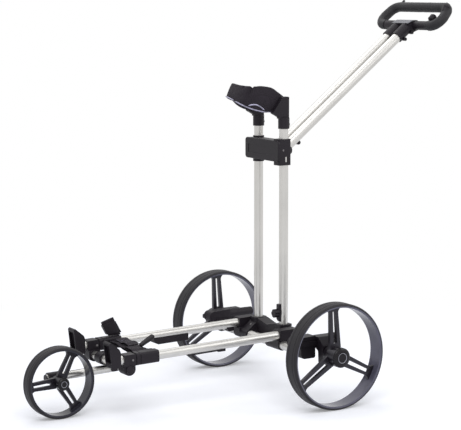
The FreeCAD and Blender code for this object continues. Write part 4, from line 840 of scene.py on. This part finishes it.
# ---------------------------------------------------------------- stage
def stage():
    """A pale floor that keeps its shadow near the cart and is white further off, a white surround and three lamps."""
    fade_start, fade_end = 0.75, 1.5
    floor_mesh = bpy.data.meshes.new("floor")
    reach = 40.0
    floor_mesh.from_pydata(
        [(-reach, -reach, 0), (reach, -reach, 0), (reach, reach, 0), (-reach, reach, 0)], [], [(0, 1, 2, 3)]
    )
    floor = bpy.data.objects.new("floor", floor_mesh)
    bpy.context.scene.collection.objects.link(floor)
    shader = Shader("floor_paper")
    path = shader.add("ShaderNodeLightPath").outputs
    seen = shader.add("ShaderNodeMath", {0: path["Is Camera Ray"], 1: path["Is Glossy Ray"]}, operation="MAXIMUM")
    distance = shader.add("ShaderNodeVectorMath", {0: shader.place}, operation="LENGTH").outputs["Value"]
    far = shader.add(
        "ShaderNodeMapRange", {"Value": distance, "From Min": fade_start, "From Max": fade_end}
    ).outputs["Result"]
    white = shader.add("ShaderNodeMath", {0: far, 1: seen.outputs[0]}, operation="MULTIPLY").outputs[0]
    shader.set(Base_Color=shader.ramp(white, FLOOR_WHITE, (0, 0, 0)), Roughness=0.9, Specular_IOR_Level=0.0)
    glow = shader.span(white, 0.24, 1.0)
    strength = shader.add("ShaderNodeMath", {0: glow, 1: seen.outputs[0]}, operation="MULTIPLY").outputs[0]
    shader.set(Emission_Color=(1, 1, 1, 1), Emission_Strength=strength)
    floor.data.materials.append(shader.material)

    world = bpy.data.worlds.new("studio")
    bpy.context.scene.world = world
    world.use_nodes = True
    nodes = world.node_tree.nodes
    links = world.node_tree.links
    nodes.clear()
    out = nodes.new("ShaderNodeOutputWorld")
    mix = nodes.new("ShaderNodeMixShader")
    lit = nodes.new("ShaderNodeBackground")
    lit.inputs["Color"].default_value = (0.93, 0.95, 1.0, 1)
    lit.inputs["Strength"].default_value = 0.50
    white = nodes.new("ShaderNodeBackground")
    white.inputs["Color"].default_value = (1, 1, 1, 1)
    white.inputs["Strength"].default_value = 1.0
    path = nodes.new("ShaderNodeLightPath")
    either = nodes.new("ShaderNodeMath")
    either.operation = "MAXIMUM"
    links.new(path.outputs["Is Camera Ray"], either.inputs[0])
    links.new(path.outputs["Is Transmission Ray"], either.inputs[1])
    third = nodes.new("ShaderNodeMath")
    third.operation = "MAXIMUM"
    links.new(either.outputs[0], third.inputs[0])
    links.new(path.outputs["Is Glossy Ray"], third.inputs[1])
    links.new(third.outputs[0], mix.inputs[0])
    links.new(lit.outputs[0], mix.inputs[1])
    links.new(white.outputs[0], mix.inputs[2])
    links.new(mix.outputs[0], out.inputs["Surface"])

    # Place, width in metres, power in watts
    lamps = {
        "key": ((1.6, 2.6, 3.4), 2.6, 80),
        "fill": ((-2.6, 2.2, 2.4), 2.2, 28),
        "top": ((0.0, -1.4, 3.6), 3.0, 42),
    }
    for name, (spot, size, power) in lamps.items():
        light = bpy.data.lights.new(name, "AREA")
        light.size = size
        light.energy = power
        lamp = bpy.data.objects.new(name, light)
        bpy.context.scene.collection.objects.link(lamp)
        lamp.location = spot
        lamp.rotation_euler = (Vector((0, 0, 0.45)) - Vector(spot)).to_track_quat("-Z", "Y").to_euler()


def camera():
    """A long lens from the front left, a little above the handle's loop and looking slightly down."""
    data = bpy.data.cameras.new("camera")
    data.sensor_width = 36.0
    data.lens = 129.88
    data.shift_x = -0.0492
    data.clip_end = 100.0
    obj = bpy.data.objects.new("camera", data)
    bpy.context.scene.collection.objects.link(obj)
    obj.location = (2.405046, 3.898432, 1.124674)
    obj.rotation_euler = (math.radians(82.238), 0, math.radians(147.862))
    bpy.context.scene.camera = obj


made = finishes()
tyres(made)
hub_caps(made)
foam_sleeve(made)
lower_strap(made)
cradle_strap(made)
clip(made)
loop_cap(made)
fasteners(made)
stage()
camera()
bpy.context.scene.view_settings.view_transform = "Standard"
